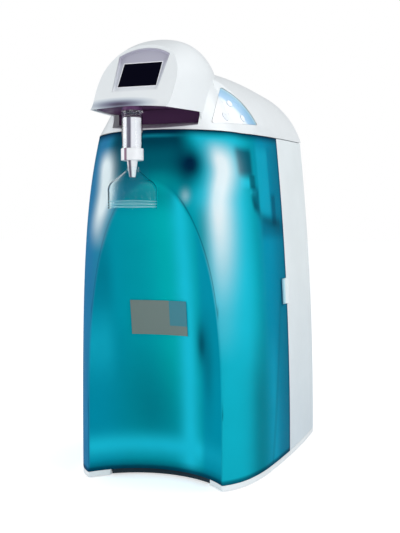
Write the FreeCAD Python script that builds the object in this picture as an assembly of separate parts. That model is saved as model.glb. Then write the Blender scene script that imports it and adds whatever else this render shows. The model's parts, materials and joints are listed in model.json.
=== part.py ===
import FreeCAD, Part
import math
import os

# Benchtop ultrapure water system. Lengths are in millimetres and angles in degrees.
# Shapes are modelled with X across, Y measured back from the line through the two front
# corners of the base, and Z up from the bench. They move to the middle when written.

# Body: a tapered shell whose plan outline changes from base to parting line
parting_height = 434.5
parting_rise = 12.0
parting_gap = 0.8
body_depth = 315.0
half_width = 142.0
top_half_width = 120.0
head_reach = 76.0
shell_wall = 3.0
seam_depth = 175.0
seam_gap = 0.6
fit = 0.3
overrun = 30.0

parting_bend_share = 0.19
level_shares = (0.0, 0.3, 0.55, 0.75, 0.9, 1.05)
# Outline points on the right side: ridge corner, cheek, flank and back corner
base_x_shares = (0.623, 0.799, 0.887, 1.0)
base_y_shares = (0.0, 0.119, 0.292, 1.0)
base_bulge_shares = (0.0791, 0.0658, 0.0245, 0.0145)
top_x_shares = (0.517, 0.792, 0.871, 1.0)
top_y_shares = (0.0254, 0.178, 0.308, 1.0)
top_bulge_shares = (0.164, 0.0846, 0.02, 0.0165)
inward_shares = ((-0.49, 0.892), (-0.958, 0.287), (-0.987, 0.16), (-1.0, 0.0))
turn_powers = (6, 3, 2, 2)

# Arched recess in the front
recess_height = 374.0
recess_foot_depth = 40.0
recess_apex_reach = 13.0
recess_foot_radius = 118.0
recess_apex_radius = 205.0
recess_sweep_power = 2.15
recess_level_shares = (0.0, 0.25, 0.5, 0.75, 1.0, 1.12)

# Base tray, plinth and feet
tray_bottom = 1.0
tray_height = 8.0
tray_floor = 3.0
tray_rim = 4.0
plinth_half_width = 67.0
plinth_setback = 5.0
plinth_thickness = 2.5
pad_radius = 11.0
pad_inset = 30.0

# Latches in the seam
latch_height = 231.0
latch_length = 35.0
latch_width = 9.0
latch_notch = 18.0
latch_thickness = 8.0
latch_sink = 0.8
latch_tongue_sink = 4.5
latch_travel = 2.5

# Dome on top
dome_sink = 24.0
dome_slope = 0.045
dome_extension = 0.25
dome_wall = 3.0
# How far the dome's sides lean inwards per height at the outline points
facet_leans = (0.42, 0.64, 0.2, -0.2)
facet_reach = 105.0
dome_inward_shares = ((1.0, 0.0), (0.62, 0.78), (0.34, 0.94), (0.15, 0.99), (0.03, 1.0), (0.0, 1.0), (0.0, 1.0))
pass_half_width = 40.0
pass_front = 55.0
pass_back = 100.0
lid_half_width = 38.0
lid_front = 205.0
lid_back = 285.0
lid_gap = 0.4
ledge = 4.0
ledge_thickness = 2.0

# Display head: arched sections along Y
head_lift = 12.8
head_base_rise = 10.3
head_arch_rise = 5.0
head_length = 244.0
head_half_width = 60.5
head_rise = 104.5
head_drop = 40.0
head_wall = 2.5
station_shares = (0.0, 0.127, 0.25, 0.393, 0.557, 0.721, 0.885, 1.0)
station_width_shares = (0.758, 0.842, 0.925, 0.985, 0.98, 0.885, 0.705, 0.45)
station_crown_shares = (0.562, 0.71, 0.836, 0.962, 1.0, 0.97, 0.86, 0.705)
arch_height_shares = (0.45, 0.75, 0.9)
arch_width_shares = (0.975, 0.84, 0.625)
neck_half_width = 55.5
neck_front = 27.0
neck_wall = 3.0
notch_lift = 11.9
notch_slope = 0.25
skirt_front = 12.0
floor_recess = 1.2
floor_thickness = 2.4

# Sloping face of the head, from its foot upwards
face_foot_y = -62.0
face_foot_lift = 17.7
face_tilt = 34.0
lip_height = 4.2
cove_height_share = 0.42
cove_depth_share = 0.56

# Display in the face, measured up the slope from the face's foot
pocket_foot = 10.8
pocket_foot_half_width = 28.0
pocket_shoulder = 67.3
pocket_shoulder_half_width = 32.0
pocket_crown = 79.0
pocket_gap = 0.2
bezel_wall = 1.5
bezel_depth = 3.0
bezel_floor = 2.0
display_half_width = 23.9
display_foot = 20.3
display_length = 36.8
display_thickness = 1.6
module_thickness = 7.0

# Outlet under the head
outlet_y = -62.0
outlet_lift = 3.2
outlet_radius = 11.0
socket_radius = 5.0
socket_depth = 4.0
tongue_half_width = 5.0
tongue_setback = 4.0
tongue_length = 16.0
elbow_half_width = 7.0
elbow_height = 10.0
elbow_length = 10.0
elbow_setback = 13.0
filter_radius = 12.0
filter_wall = 1.2
filter_length = 42.2
filter_neck_radius = 4.6
filter_neck_bore = 2.4
core_radius = 10.2
core_setback = 6.5
ring_radius = 12.8
ring_length = 13.4
nozzle_top_radius = 6.2
nozzle_tip_radius = 3.4
nozzle_length = 19.0
nozzle_bore = 1.6
running_gap = 0.1
# Bell on the nozzle: drops are measured down from the top of its neck
bell_radius = 28.0
bell_grip = 11.4
bell_rim_drop = 47.0
bell_shoulder_drop = 29.0
bell_cone_radius = 20.0
bell_cone_drop = 14.0
bell_neck_radius = 7.2
bell_neck_length = 3.0
bell_wall = 1.4
bell_bend_shares = (0.22, 0.62)
bell_taper_shares = (0.5, 0.8)

# Keypad in the right of the dome, drawn on an upright plane turned from the front.
# Places on it are a reach along the plane and a lift over the parting line's front.
window_turn = 18.2
window_depth = 95.0
window_corner = 2.0
window_front = (71.2, 9.6)
window_back = (132.1, 15.7)
window_arc = (115.6, 38.1)
window_peak = (83.5, 61.5)
window_thickness = 2.0
window_sink = 0.3
key_stand = 0.8
key_travel = 1.2
# Each key: reach and lift on the window's plane, half length, half width
key_places = {"key_dispense": (88.9, 19.9, 5.6, 4.3),
              "key_menu": (94.6, 39.6, 4.4, 3.3),
              "key_standby": (111.3, 21.6, 4.2, 3.2)}
keyboard_turn = 60.0
keyboard_distance = 71.0
keyboard_front = 35.0
keyboard_back = 80.0
keyboard_half_width = 18.0
board_thickness = 1.6
post_radius = 2.0
post_inset = 3.0

# Name plate on the recess
plate_half_width = 37.0
plate_bottom = 184.0
plate_height = 43.5
plate_thickness = 1.2

# Chassis panel
chassis_y = 181.0
chassis_thickness = 3.0
chassis_gap = 0.4
chassis_flange = 14.0
screw_radius = 2.0
screw_head_radius = 3.8
screw_head_height = 2.2
screw_length = 5.0
screw_span = 70.0

# Purification cartridge and its manifold head
cartridge_x = -48.0
cartridge_y = 118.0
cartridge_radius = 42.0
cartridge_bottom = 8.0
cartridge_top = 330.0
cartridge_round = 8.0
cartridge_neck_radius = 15.0
cartridge_neck_length = 16.0
cradle_wall = 4.0
cradle_height = 16.0
manifold_half_width = 30.0
manifold_front = 90.0
manifold_height = 28.0

# Ultraviolet reactor
reactor_x = 62.0
reactor_y = 125.0
reactor_radius = 24.0
reactor_bottom = 70.0
reactor_length = 264.0
cap_wall = 3.0
cap_length = 14.0
clamp_half_width = 29.0
clamp_height = 12.0
clamp_shares = (0.22, 0.8)
ballast_half_width = 30.0
ballast_x = 50.0
ballast_front = 215.0
ballast_depth = 45.0
ballast_height = 48.0

# Pump
pump_x = 66.0
pump_z = 37.0
pump_motor_radius = 21.0
pump_motor_front = 106.0
pump_motor_back = 162.0
pump_head_radius = 24.0
pump_head_length = 26.0
saddle_half_width = 22.0
saddle_height = 9.0
saddle_front = 114.0
saddle_length = 38.0

# Valve and resistivity cell
valve_x_share = 0.55
valve_y = 130.0
valve_half_width = 15.0
valve_bottom = 380.0
valve_height = 46.0
valve_foot_height = 22.0
valve_foot_half_width = 9.0
stem_half_width = 6.0
cell_x = 13.0
cell_z = 408.0
cell_front = 88.0
cell_length = 46.0
cell_radius = 13.0

# Hoses
hose_radius = 4.0
hose_bore = 2.6
hose_run_share = 0.45
# Places of the middle points along the hoses between the cell and its neighbours
cell_rise_shares = (0.42, 0.62)
valve_run_shares = (0.42, 0.58)
cell_port_share = 0.3

# Reservoir in the rear
reservoir_half_width = 80.0
reservoir_front = 196.0
reservoir_back = 298.0
reservoir_bottom = 340.0
reservoir_top = 480.0
reservoir_wall = 2.5
reservoir_round = 10.0
mouth_y = 245.0
mouth_radius = 28.0
shelf_thickness = 5.0
shelf_half_width = 92.0
funnel_top_radius = 34.0
funnel_wall = 2.0
funnel_top = 516.0
funnel_insert = 6.0
outlet_x = 16.0
reservoir_outlet_y = 215.0
spigot_length = 10.0
rod_x = -52.0
rod_radius = 3.0
float_radius = 14.0
float_height = 20.0
float_gap = 0.3
rod_headroom = 4.0

# Control board behind the chassis
# Components on the board: X as a share of its half width, Z of its height, and half size
component_shares = ((-0.55, 0.25, 0.3), (0.2, 0.3, 0.22), (0.6, 0.7, 0.25), (-0.3, 0.75, 0.2))
control_half_width = 70.0
control_bottom = 60.0
control_height = 190.0
standoff_length = 6.0
standoff_radius = 3.0
standoff_inset = 8.0
chip_height = 8.0

# Power inlet and switch in the back
inlet_x = -62.0
inlet_z = 52.0
inlet_half_width = 14.0
inlet_half_height = 10.0
inlet_depth = 22.0
inlet_cavity_depth = 14.0
pin_radius = 1.2
pin_length = 9.0
switch_x = -22.0
rocker_half_width = 6.0
rocker_half_height = 9.5
rocker_depth = 8.0
rocker_gap = 0.7
rocker_turn = 8.0
rocker_frame_wall = 2.0
rocker_frame_depth = 14.0
pivot_radius = 1.5
pivot_reach = 1.2

parting_bend = parting_bend_share * body_depth
head_base_height = parting_height + head_lift
face_foot_z = head_base_height + face_foot_lift
outlet_bottom = head_base_height + outlet_lift
notch_height = parting_height + notch_lift
valve_x = valve_x_share * half_width
inner_back = body_depth - shell_wall
face_cos = math.cos(math.radians(face_tilt))
face_sin = math.sin(math.radians(face_tilt))
front_reach = bell_radius - outlet_y
middle_shift = FreeCAD.Vector(0, (front_reach - body_depth) / 2, 0)
across = FreeCAD.Vector(1, 0, 0)
backward = FreeCAD.Vector(0, 1, 0)
upward = FreeCAD.Vector(0, 0, 1)


def point(x, y, z):
    return FreeCAD.Vector(x, y, z)


def mix(start, end, share):
    return start + (end - start) * share


def block(x_min, x_max, y_min, y_max, z_min, z_max):
    corner = point(x_min, y_min, z_min)
    return Part.makeBox(x_max - x_min, y_max - y_min, z_max - z_min, corner)


def rod(radius, length, base, direction):
    return Part.makeCylinder(radius, length, base, direction)


def polygon(points):
    return Part.makePolygon(list(points) + [points[0]])


def prism_across(outline, span):
    """Solid between -span and +span in X from an outline of (Y, Z) points."""
    wire = polygon([point(-span, y, z) for y, z in outline])
    return Part.Face(wire).extrude(across * (2 * span))


def bulged(start, end, bulge_share, height):
    """Arc from start to end in plan, bulging to the right of the way it runs."""
    dx = end[0] - start[0]
    dy = end[1] - start[1]
    middle = ((start[0] + end[0]) / 2 + dy * bulge_share, (start[1] + end[1]) / 2 - dx * bulge_share)
    return Part.Arc(point(*start, height), point(*middle, height), point(*end, height)).toShape()


def outline_points(level, inset):
    """Right-hand outline points at a level, moved inwards by inset."""
    points = []
    for index, power in enumerate(turn_powers):
        turned = level ** power
        x = mix(base_x_shares[index] * half_width, top_x_shares[index] * top_half_width, turned)
        y = mix(base_y_shares[index], top_y_shares[index], turned) * body_depth
        points.append((x + inward_shares[index][0] * inset, y + inward_shares[index][1] * inset))
    return points


def outline_bulges(level):
    bulges = []
    for index, power in enumerate(turn_powers):
        bulges.append(mix(base_bulge_shares[index], top_bulge_shares[index], level ** power))
    return bulges


def outline_wire(right, bulges, height):
    """Closed plan outline at a height from its right-hand points."""
    left = [(-x, y) for x, y in right]
    edges = [bulged(left[0], right[0], bulges[0], height)]
    for index in range(3):
        edges.append(bulged(right[index], right[index + 1], bulges[index + 1], height))
    edges.append(Part.makeLine(point(*right[3], height), point(*left[3], height)))
    for index in (3, 2, 1):
        edges.append(bulged(left[index], left[index - 1], bulges[index], height))
    return Part.Wire(edges)


def body_section(level, inset):
    return outline_wire(outline_points(level, inset), outline_bulges(level), level * parting_height)


def body_solid(inset=0.0):
    return Part.makeLoft([body_section(level, inset) for level in level_shares], True, False)


def recess_section(level, inset):
    """Closed outline of the space in front of the recess at a share of its height."""
    radius = mix(recess_foot_radius, recess_apex_radius, level ** 2) + inset
    deepest = recess_foot_depth - (recess_foot_depth + recess_apex_reach) * level ** recess_sweep_power
    deepest += inset
    front = -head_reach
    centre = deepest - radius
    side = math.sqrt(radius ** 2 - (front - centre) ** 2)
    height = level * recess_height
    arc = Part.Arc(point(-side, front, height), point(0, deepest, height), point(side, front, height))
    chord = Part.makeLine(point(side, front, height), point(-side, front, height))
    return Part.Wire([arc.toShape(), chord])


def recess_solid(inset=0.0):
    return Part.makeLoft([recess_section(level, inset) for level in recess_level_shares], True, False)


def parting_at(y):
    return parting_height + parting_rise * max(0.0, (y - parting_bend) / (body_depth - parting_bend))


def above_parting(lift):
    """Everything above the parting line raised by lift."""
    far = 2 * body_depth
    outline = ((-far, parting_height + lift), (parting_bend, parting_height + lift),
               (far, parting_at(far) + lift), (far, 2 * parting_height), (-far, 2 * parting_height))
    return prism_across(outline, half_width + overrun)


def slab(y_min, y_max, z_min, z_max):
    span = half_width + overrun
    return block(-span, span, y_min, y_max, z_min, z_max)


def base_tray():
    outer = body_solid().common(slab(-head_reach, body_depth, tray_bottom, tray_height)).cut(recess_solid())
    inner = body_solid(tray_rim).cut(recess_solid(tray_rim))
    tray = outer.cut(inner.common(slab(-head_reach, body_depth - tray_rim, tray_bottom + tray_floor, tray_height)))
    notch = recess_solid(plinth_setback + plinth_thickness)
    notch = notch.common(block(-plinth_half_width, plinth_half_width, -head_reach, body_depth, -overrun, tray_height))
    tray = tray.cut(notch)
    for x, y in screw_places():
        tray = tray.cut(rod(screw_radius + fit, tray_floor, point(x, y, tray_bottom), upward))
    return tray


def plinth_strip():
    outer = recess_solid(plinth_setback + plinth_thickness - fit)
    strip = outer.cut(recess_solid(plinth_setback))
    span = plinth_half_width - fit
    return strip.common(block(-span, span, -head_reach, body_depth, tray_bottom, tray_height))


def foot_pads():
    ridge_x, ridge_y = outline_points(0.0, 0.0)[0]
    front_y = ridge_y + pad_inset
    back_y = body_depth - pad_inset
    places = []
    for side in (-1, 1):
        places.append((side * ridge_x, front_y))
        places.append((side * (half_width - pad_inset), back_y))
    return Part.makeCompound([rod(pad_radius, tray_bottom, point(x, y, 0), upward) for x, y in places])


def latch_hollow(margin):
    """Notch for the latches through both walls at the seam."""
    half = latch_length / 2 + margin
    front = seam_depth - latch_notch
    return slab(front, seam_depth + latch_width, latch_height - half, latch_height + half)


def front_cover():
    bottom = tray_height + fit
    outer = body_solid().common(slab(-head_reach, seam_depth, bottom, body_depth * 2)).cut(recess_solid())
    inner = body_solid(shell_wall).cut(recess_solid(shell_wall))
    cover = outer.cut(inner).cut(above_parting(0.0))
    return cover.cut(latch_hollow(fit))


def back_shell():
    front = seam_depth + seam_gap
    outer = body_solid().common(slab(front, body_depth, tray_height, body_depth * 2))
    inner = body_solid(shell_wall).common(slab(-head_reach, inner_back, 0, body_depth * 2))
    shell = outer.cut(inner).cut(above_parting(0.0)).cut(latch_hollow(fit))
    hole = inlet_hole(inlet_x, inlet_half_width + fit, inlet_half_height + fit)
    shell = shell.cut(hole)
    frame_width = rocker_half_width + rocker_gap + rocker_frame_wall + fit
    frame_height = rocker_half_height + rocker_gap + rocker_frame_wall + fit
    return shell.cut(inlet_hole(switch_x, frame_width, frame_height))


def inlet_hole(x, half_span, half_height):
    return block(x - half_span, x + half_span, inner_back - overrun, body_depth + overrun,
                 inlet_z - half_height, inlet_z + half_height)


def latch(side):
    """Latch: a tab in the rear of the notch, and a tongue sunk deeper in front of it."""
    half = latch_length / 2
    tab = body_solid(latch_sink).common(slab(seam_depth - latch_width, seam_depth + latch_width - fit,
                                             latch_height - half, latch_height + half))
    tongue = body_solid(latch_tongue_sink).common(slab(seam_depth - latch_notch + fit, seam_depth,
                                                       latch_height - half, latch_height + half))
    tab = tab.fuse(tongue).cut(body_solid(latch_thickness))
    keep = block(0, half_width, -head_reach, body_depth, 0, parting_height)
    if side < 0:
        keep = block(-half_width, 0, -head_reach, body_depth, 0, parting_height)
    return tab.common(keep)


def name_plate():
    bottom = plate_bottom
    place = block(-plate_half_width, plate_half_width, -head_reach, body_depth, bottom, bottom + plate_height)
    front = recess_solid()
    front.translate(backward * -plate_thickness)
    plate = recess_solid().cut(front).common(place)
    plate.translate(backward * -running_gap)
    return plate


def dome_axis_at(y):
    """Height of the dome's axis, which falls towards the back."""
    return parting_height - dome_sink + (body_depth - y) * dome_slope


def dome_profile(inset):
    """Y and radius of the dome, worked out so that it meets the body at the parting line."""
    corner, cheek, flank, back = outline_points(1.0, 0.0)
    nose = (0.0, corner[1] - 2 * corner[0] * top_bulge_shares[0])
    chord = back[1] - flank[1]
    middle = ((flank[0] + back[0]) / 2 + chord * top_bulge_shares[3], (flank[1] + back[1]) / 2)
    beyond = (mix(middle[0], back[0], 1 + dome_extension), mix(middle[1], back[1], 1 + dome_extension))
    profile = []
    for (x, y), (along, out) in zip((nose, corner, cheek, flank, middle, back, beyond), dome_inward_shares):
        radius = math.hypot(x, parting_at(y) - dome_axis_at(y))
        profile.append((y + along * inset, radius - out * inset))
    return profile


def dome_curve(inset):
    curve = Part.BSplineCurve()
    curve.interpolate([point(0, y, dome_axis_at(y) + radius) for y, radius in dome_profile(inset)])
    return curve


def facet_section(lift, inset):
    """Plan outline of the dome's leaning sides at a lift over the parting line."""
    points = []
    for (x, y), (along, back), lean in zip(outline_points(1.0, 0.0), inward_shares, facet_leans):
        move = lean * lift + (inset - fit) * math.hypot(1, lean)
        points.append((x + along * move, y + back * move))
    points[3] = (points[3][0], points[3][1] + overrun)
    return outline_wire(points, top_bulge_shares, parting_height + lift)


def leaning_sides(inset):
    return Part.makeLoft([facet_section(lift, inset) for lift in (-overrun, facet_reach)], True, True)


def dome_solid(inset=0.0):
    """Body of revolution about the dome's axis, with its sides cut to lean in at the front."""
    curve = dome_curve(inset)
    start = curve.StartPoint
    end = curve.EndPoint
    centre_front = point(0, start.y, dome_axis_at(start.y))
    centre_back = point(0, end.y, dome_axis_at(end.y))
    edges = [Part.makeLine(centre_front, start), curve.toShape(),
             Part.makeLine(end, centre_back), Part.makeLine(centre_back, centre_front)]
    turned = Part.Face(Part.Wire(edges)).revolve(centre_front, centre_back - centre_front, 360)
    return turned.common(leaning_sides(inset))


def notch_floor(y):
    return notch_height + notch_slope * (y - neck_front)


def neck_notch(margin):
    """Space cut from the dome's nose under the head, shut behind by the neck panel."""
    back = neck_front + neck_wall + 2 * fit + margin
    outline = ((-head_reach, notch_floor(-head_reach) - margin), (back, notch_floor(back) - margin),
               (back, 2 * parting_height), (-head_reach, 2 * parting_height))
    return prism_across(outline, neck_half_width + fit + margin)


def dome_body(inset):
    return dome_solid(inset).cut(neck_notch(inset))


def dome_radius(y):
    """Radius of the dome at a depth along Y, found by halving."""
    curve = dome_curve(0.0)
    low = curve.FirstParameter
    high = curve.LastParameter
    for _ in range(40):
        middle = (low + high) / 2
        if curve.value(middle).y < y:
            low = middle
        else:
            high = middle
    return curve.value(low).z - dome_axis_at(y)


def window_place(reach, lift, depth):
    """Point at a reach along the window's plane, a lift, and a depth in front of the plane."""
    turn = math.radians(window_turn)
    x = reach * math.cos(turn) + depth * math.sin(turn)
    y = reach * math.sin(turn) - depth * math.cos(turn)
    return point(x, y, parting_height + lift)


def window_outline(margin):
    """Sector outline, grown by margin, as a prism through the right of the dome."""
    corners = ((window_front, -2 * margin, -margin), (window_back, 2 * margin, -margin),
               (window_arc, margin, margin), (window_peak, 0.0, 2 * margin))
    front, back, arc, peak = [window_place(reach + aside, lift + up, -window_depth)
                              for (reach, lift), aside, up in corners]
    edges = [Part.makeLine(front, back), Part.Arc(back, arc, peak).toShape(), Part.makeLine(peak, front)]
    through = window_place(0, 0, 2 * window_depth) - window_place(0, 0, 0)
    prism = Part.Face(Part.Wire(edges)).extrude(through)
    uprights = [edge for edge in prism.Edges if abs(edge.Length - through.Length) < fit]
    return prism.makeFillet(window_corner, uprights)


def lid_prism(margin):
    return block(-lid_half_width - margin, lid_half_width + margin, lid_front - margin, lid_back + margin,
                 parting_height, 2 * parting_height)


def dome_housing():
    cavity = dome_body(dome_wall).common(slab(-head_reach, inner_back, 0, 2 * parting_height))
    shell = dome_body(0.0).cut(cavity)
    shell = shell.common(above_parting(parting_gap))
    shell = shell.common(slab(-head_reach, body_depth, 0, 2 * parting_height))
    shell = shell.cut(window_outline(0.0)).cut(lid_prism(0.0))
    passage = block(-pass_half_width, pass_half_width, pass_front, pass_back, parting_height, 2 * parting_height)
    shell = shell.cut(passage)
    rim = dome_solid(dome_wall).cut(dome_solid(dome_wall + ledge_thickness))
    rim = rim.common(lid_prism(ledge).cut(lid_prism(-ledge)))
    return shell.fuse(rim)


def fill_lid():
    skin = dome_solid().cut(dome_solid(dome_wall - fit))
    return skin.common(lid_prism(-lid_gap))


def skin_point(reach, lift):
    """Where a line square to the window's plane comes out of the dome."""
    line = Part.makeLine(window_place(reach, lift, -window_depth), window_place(reach, lift, window_depth))
    ends = line.common(dome_skin).Vertexes
    return min((end.Point for end in ends), key=lambda place: place.y)


def key_frame(reach, lift):
    """Surface point and outward direction of a key on the dome."""
    step = key_travel
    along = skin_point(reach + step, lift) - skin_point(reach - step, lift)
    rise = skin_point(reach, lift + step) - skin_point(reach, lift - step)
    return skin_point(reach, lift), along.cross(rise).normalize()


def key_solid(name, margin, stand, depth):
    """Oval column through the window: stand above the skin, depth below it."""
    reach, lift, half_length, half_breadth = key_places[name]
    surface, outward = key_frame(reach, lift)
    oval = Part.Ellipse(point(0, 0, 0), half_length + margin, half_breadth + margin).toShape()
    column = Part.Face(Part.Wire([oval])).extrude(upward * (stand + depth))
    column.translate(upward * -depth)
    spin = FreeCAD.Rotation(across, backward, outward, "ZYX")
    column.Placement = FreeCAD.Placement(surface, spin).multiply(column.Placement)
    return column


dome_skin = dome_solid()
keyboard_axis = dome_axis_at((keyboard_front + keyboard_back) / 2)


def keyboard_depth(name):
    """How far the keypad board lies under the skin at a key, less the key's travel."""
    reach, lift, half_length, _ = key_places[name]
    surface, outward = key_frame(reach, lift)
    normal = keyboard_normal()
    height = (surface - point(0, surface.y, keyboard_axis)).dot(normal) - keyboard_distance - board_thickness
    lean = math.sqrt(1 - outward.dot(normal) ** 2) * half_length
    return (height - key_travel - fit - lean) / outward.dot(normal)


def keyboard_normal():
    turn = math.radians(keyboard_turn)
    return point(math.sin(turn), 0, math.cos(turn))


def key(name):
    return key_solid(name, 0.0, key_stand, keyboard_depth(name))


def keypad_window():
    skin = dome_solid(window_sink).cut(dome_solid(window_sink + window_thickness))
    window = skin.common(window_outline(-fit))
    for name in key_places:
        window = window.cut(key_solid(name, fit, overrun, overrun))
    return window


def keypad_board():
    """Board under the keys, on posts that reach up to the dome."""
    board = block(-keyboard_half_width, keyboard_half_width, keyboard_front, keyboard_back,
                  keyboard_distance, keyboard_distance + board_thickness)
    for x in (-keyboard_half_width + post_inset, keyboard_half_width - post_inset):
        for y in (keyboard_front + post_inset, keyboard_back - post_inset):
            board = board.fuse(rod(post_radius, half_width, point(x, y, keyboard_distance), upward))
    board.rotate(point(0, 0, 0), backward, keyboard_turn)
    board.translate(upward * keyboard_axis)
    held = dome_solid(dome_wall + fit).cut(window_outline(ledge))
    return board.common(held.fuse(keyboard_slab()))


def keyboard_slab():
    """The board itself, without its posts."""
    plate = block(-keyboard_half_width, keyboard_half_width, keyboard_front, keyboard_back,
                  keyboard_distance, keyboard_distance + board_thickness)
    plate.rotate(point(0, 0, 0), backward, keyboard_turn)
    plate.translate(upward * keyboard_axis)
    return plate


def head_station(index, inset):
    """Arched section of the head across X."""
    y = head_length * station_shares[index] - head_reach
    width = head_half_width * station_width_shares[index] - inset
    crown = head_rise * station_crown_shares[index] - inset
    base = head_base_height
    right = [point(width, y, base)]
    for high, wide in zip(arch_height_shares, arch_width_shares):
        right.append(point(width * wide, y, base + crown * high))
    left = [point(-corner.x, y, corner.z) for corner in reversed(right)]
    arch = Part.BSplineCurve()
    arch.interpolate(right + [point(0, y, base + crown)] + left)
    foot_right = point(width, y, base - head_drop)
    foot_left = point(-width, y, base - head_drop)
    edges = [Part.makeLine(foot_right, right[0]), arch.toShape(),
             Part.makeLine(left[-1], foot_left), Part.makeLine(foot_left, foot_right)]
    return Part.Wire(edges)


def head_loft(inset=0.0):
    return Part.makeLoft([head_station(i, inset) for i in range(len(station_shares))], True, False)


def head_front(inset):
    """Everything behind the head's sloping face and the cove under it."""
    back = head_length + overrun
    low = head_base_height - head_drop - overrun
    lip = head_base_height + lip_height
    high = 2 * parting_height
    shift = inset / face_cos
    edge_y = -head_reach + shift
    foot_y = face_foot_y + shift
    high_y = foot_y + (high - face_foot_z) * face_sin / face_cos
    cove_y = mix(edge_y, foot_y, cove_depth_share)
    cove_z = mix(lip, face_foot_z, cove_height_share)
    span = half_width
    corner = [point(-span, y, z) for y, z in ((edge_y, lip), (cove_y, cove_z), (foot_y, face_foot_z))]
    edges = [Part.Arc(*corner).toShape(),
             Part.makeLine(corner[2], point(-span, high_y, high)),
             Part.makeLine(point(-span, high_y, high), point(-span, back, high)),
             Part.makeLine(point(-span, back, high), point(-span, back, low)),
             Part.makeLine(point(-span, back, low), point(-span, edge_y, low)),
             Part.makeLine(point(-span, edge_y, low), corner[0])]
    return Part.Face(Part.Wire(edges)).extrude(across * (2 * span))


def underside_rise(y):
    """How much the head's underside has risen at Y from a start in front of the head."""
    start = -head_reach - overrun
    return head_base_rise * (y - start) / (neck_front - start)


def head_underside(raise_by, back):
    """Space under the head up to back, arched across and rising to the back."""
    wires = []
    for y in (-head_reach - overrun, back):
        span = head_half_width + overrun
        sag = head_arch_rise * (span / head_half_width) ** 2 - head_arch_rise
        edge = head_base_height + underside_rise(y) - sag + raise_by
        crown = head_base_height + underside_rise(y) + head_arch_rise + raise_by
        arc = Part.Arc(point(-span, y, edge), point(0, y, crown), point(span, y, edge)).toShape()
        low = head_base_height - head_drop - overrun
        lines = polygon_path([point(span, y, edge), point(span, y, low), point(-span, y, low), point(-span, y, edge)])
        wires.append(Part.Wire([arc] + lines))
    return Part.makeLoft(wires, True, True)


def polygon_path(points):
    return [Part.makeLine(a, b) for a, b in zip(points, points[1:])]


def in_face(shape, depth=0.0):
    """Moves a shape drawn upright at Y = 0 into the head's sloping face."""
    shape.translate(backward * depth)
    shape.rotate(point(0, 0, 0), across, -face_tilt)
    shape.translate(point(0, face_foot_y, face_foot_z))
    return shape


def pocket(inset, depth_from, depth_to):
    """Arch-topped block of the display pocket, drawn upright at Y = 0."""
    foot = pocket_foot + inset
    foot_half = pocket_foot_half_width - inset
    shoulder_half = pocket_shoulder_half_width - inset
    left_foot, right_foot = point(-foot_half, depth_from, foot), point(foot_half, depth_from, foot)
    right = point(shoulder_half, depth_from, pocket_shoulder)
    left = point(-shoulder_half, depth_from, pocket_shoulder)
    crown = point(0, depth_from, pocket_crown - inset)
    edges = [Part.makeLine(left_foot, right_foot), Part.makeLine(right_foot, right),
             Part.Arc(right, crown, left).toShape(), Part.makeLine(left, left_foot)]
    return Part.Face(Part.Wire(edges)).extrude(backward * (depth_to - depth_from))


def head_shell():
    outer = head_loft().common(head_front(0.0))
    inner = head_loft(head_wall).common(head_front(head_wall))
    shell = outer.cut(inner).cut(dome_body(-fit)).cut(head_underside(0.0, skirt_front))
    return shell.cut(in_face(pocket(0.0, -overrun, overrun)))


def head_floor():
    inner = head_loft(head_wall + fit).common(head_front(head_wall + fit))
    back = neck_front - fit
    high = head_underside(floor_recess + floor_thickness, back)
    plate = inner.common(high).cut(head_underside(floor_recess, neck_front)).cut(dome_body(-fit))
    start = outlet_y + tongue_setback
    slot = block(-tongue_half_width - fit, tongue_half_width + fit, start - fit, start + tongue_length + fit,
                 head_base_height, face_foot_z)
    return plate.cut(slot)


def neck_panel():
    top = head_base_height + head_base_rise + head_arch_rise + floor_recess + floor_thickness
    back = neck_front + neck_wall
    outline = ((neck_front, notch_floor(neck_front) + fit), (back, notch_floor(back) + fit), (back, top),
               (neck_front, top))
    return prism_across(outline, neck_half_width)


def display_bezel():
    outer = pocket(pocket_gap, -overrun, bezel_depth + bezel_floor)
    hollow = pocket(pocket_gap + bezel_wall, -overrun, bezel_depth)
    opening = display_block(0.0, -overrun, overrun)
    bezel = in_face(outer.cut(hollow).cut(opening))
    return bezel.common(head_front(fit))


def display_block(margin, depth_from, depth_to):
    half = display_half_width + margin
    return block(-half, half, depth_from, depth_to, display_foot - margin, display_foot + display_length + margin)


def display_glass():
    return in_face(display_block(-pocket_gap, bezel_depth - fit, bezel_depth + display_thickness))


def display_module():
    back = bezel_depth + bezel_floor
    return in_face(display_block(fit, back, back + module_thickness))


def outlet_port():
    """Collar under the head, with a tongue through the floor to an elbow behind it."""
    collar = rod(outlet_radius, head_arch_rise + head_base_rise, point(0, outlet_y, outlet_bottom), upward)
    collar = collar.common(head_underside(-fit, neck_front))
    collar = collar.cut(rod(socket_radius, socket_depth, point(0, outlet_y, outlet_bottom), upward))
    rear = outlet_y + elbow_setback
    elbow_bottom = floor_at(rear + elbow_length) + fit
    start = outlet_y + tongue_setback
    tongue = block(-tongue_half_width, tongue_half_width, start, start + tongue_length,
                   outlet_bottom + socket_depth, elbow_bottom)
    elbow = block(-elbow_half_width, elbow_half_width, rear, rear + elbow_length, elbow_bottom,
                  elbow_middle() + elbow_height / 2)
    return collar.fuse([tongue, elbow])


def floor_at(y):
    """Height of the top of the head's floor along its middle."""
    return head_base_height + head_arch_rise + underside_rise(y) + floor_recess + floor_thickness


def elbow_middle():
    """Height of the elbow's port, with room for the hose over the head's floor."""
    elbow_back = outlet_y + elbow_setback + elbow_length
    return floor_at(elbow_back + 4 * hose_radius) + hose_radius + 2 * fit


filter_top = outlet_bottom - fit
filter_bottom = filter_top - filter_length
ring_bottom = filter_bottom - ring_length
nozzle_tip = ring_bottom - nozzle_length
bell_neck_height = nozzle_tip + bell_grip


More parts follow.
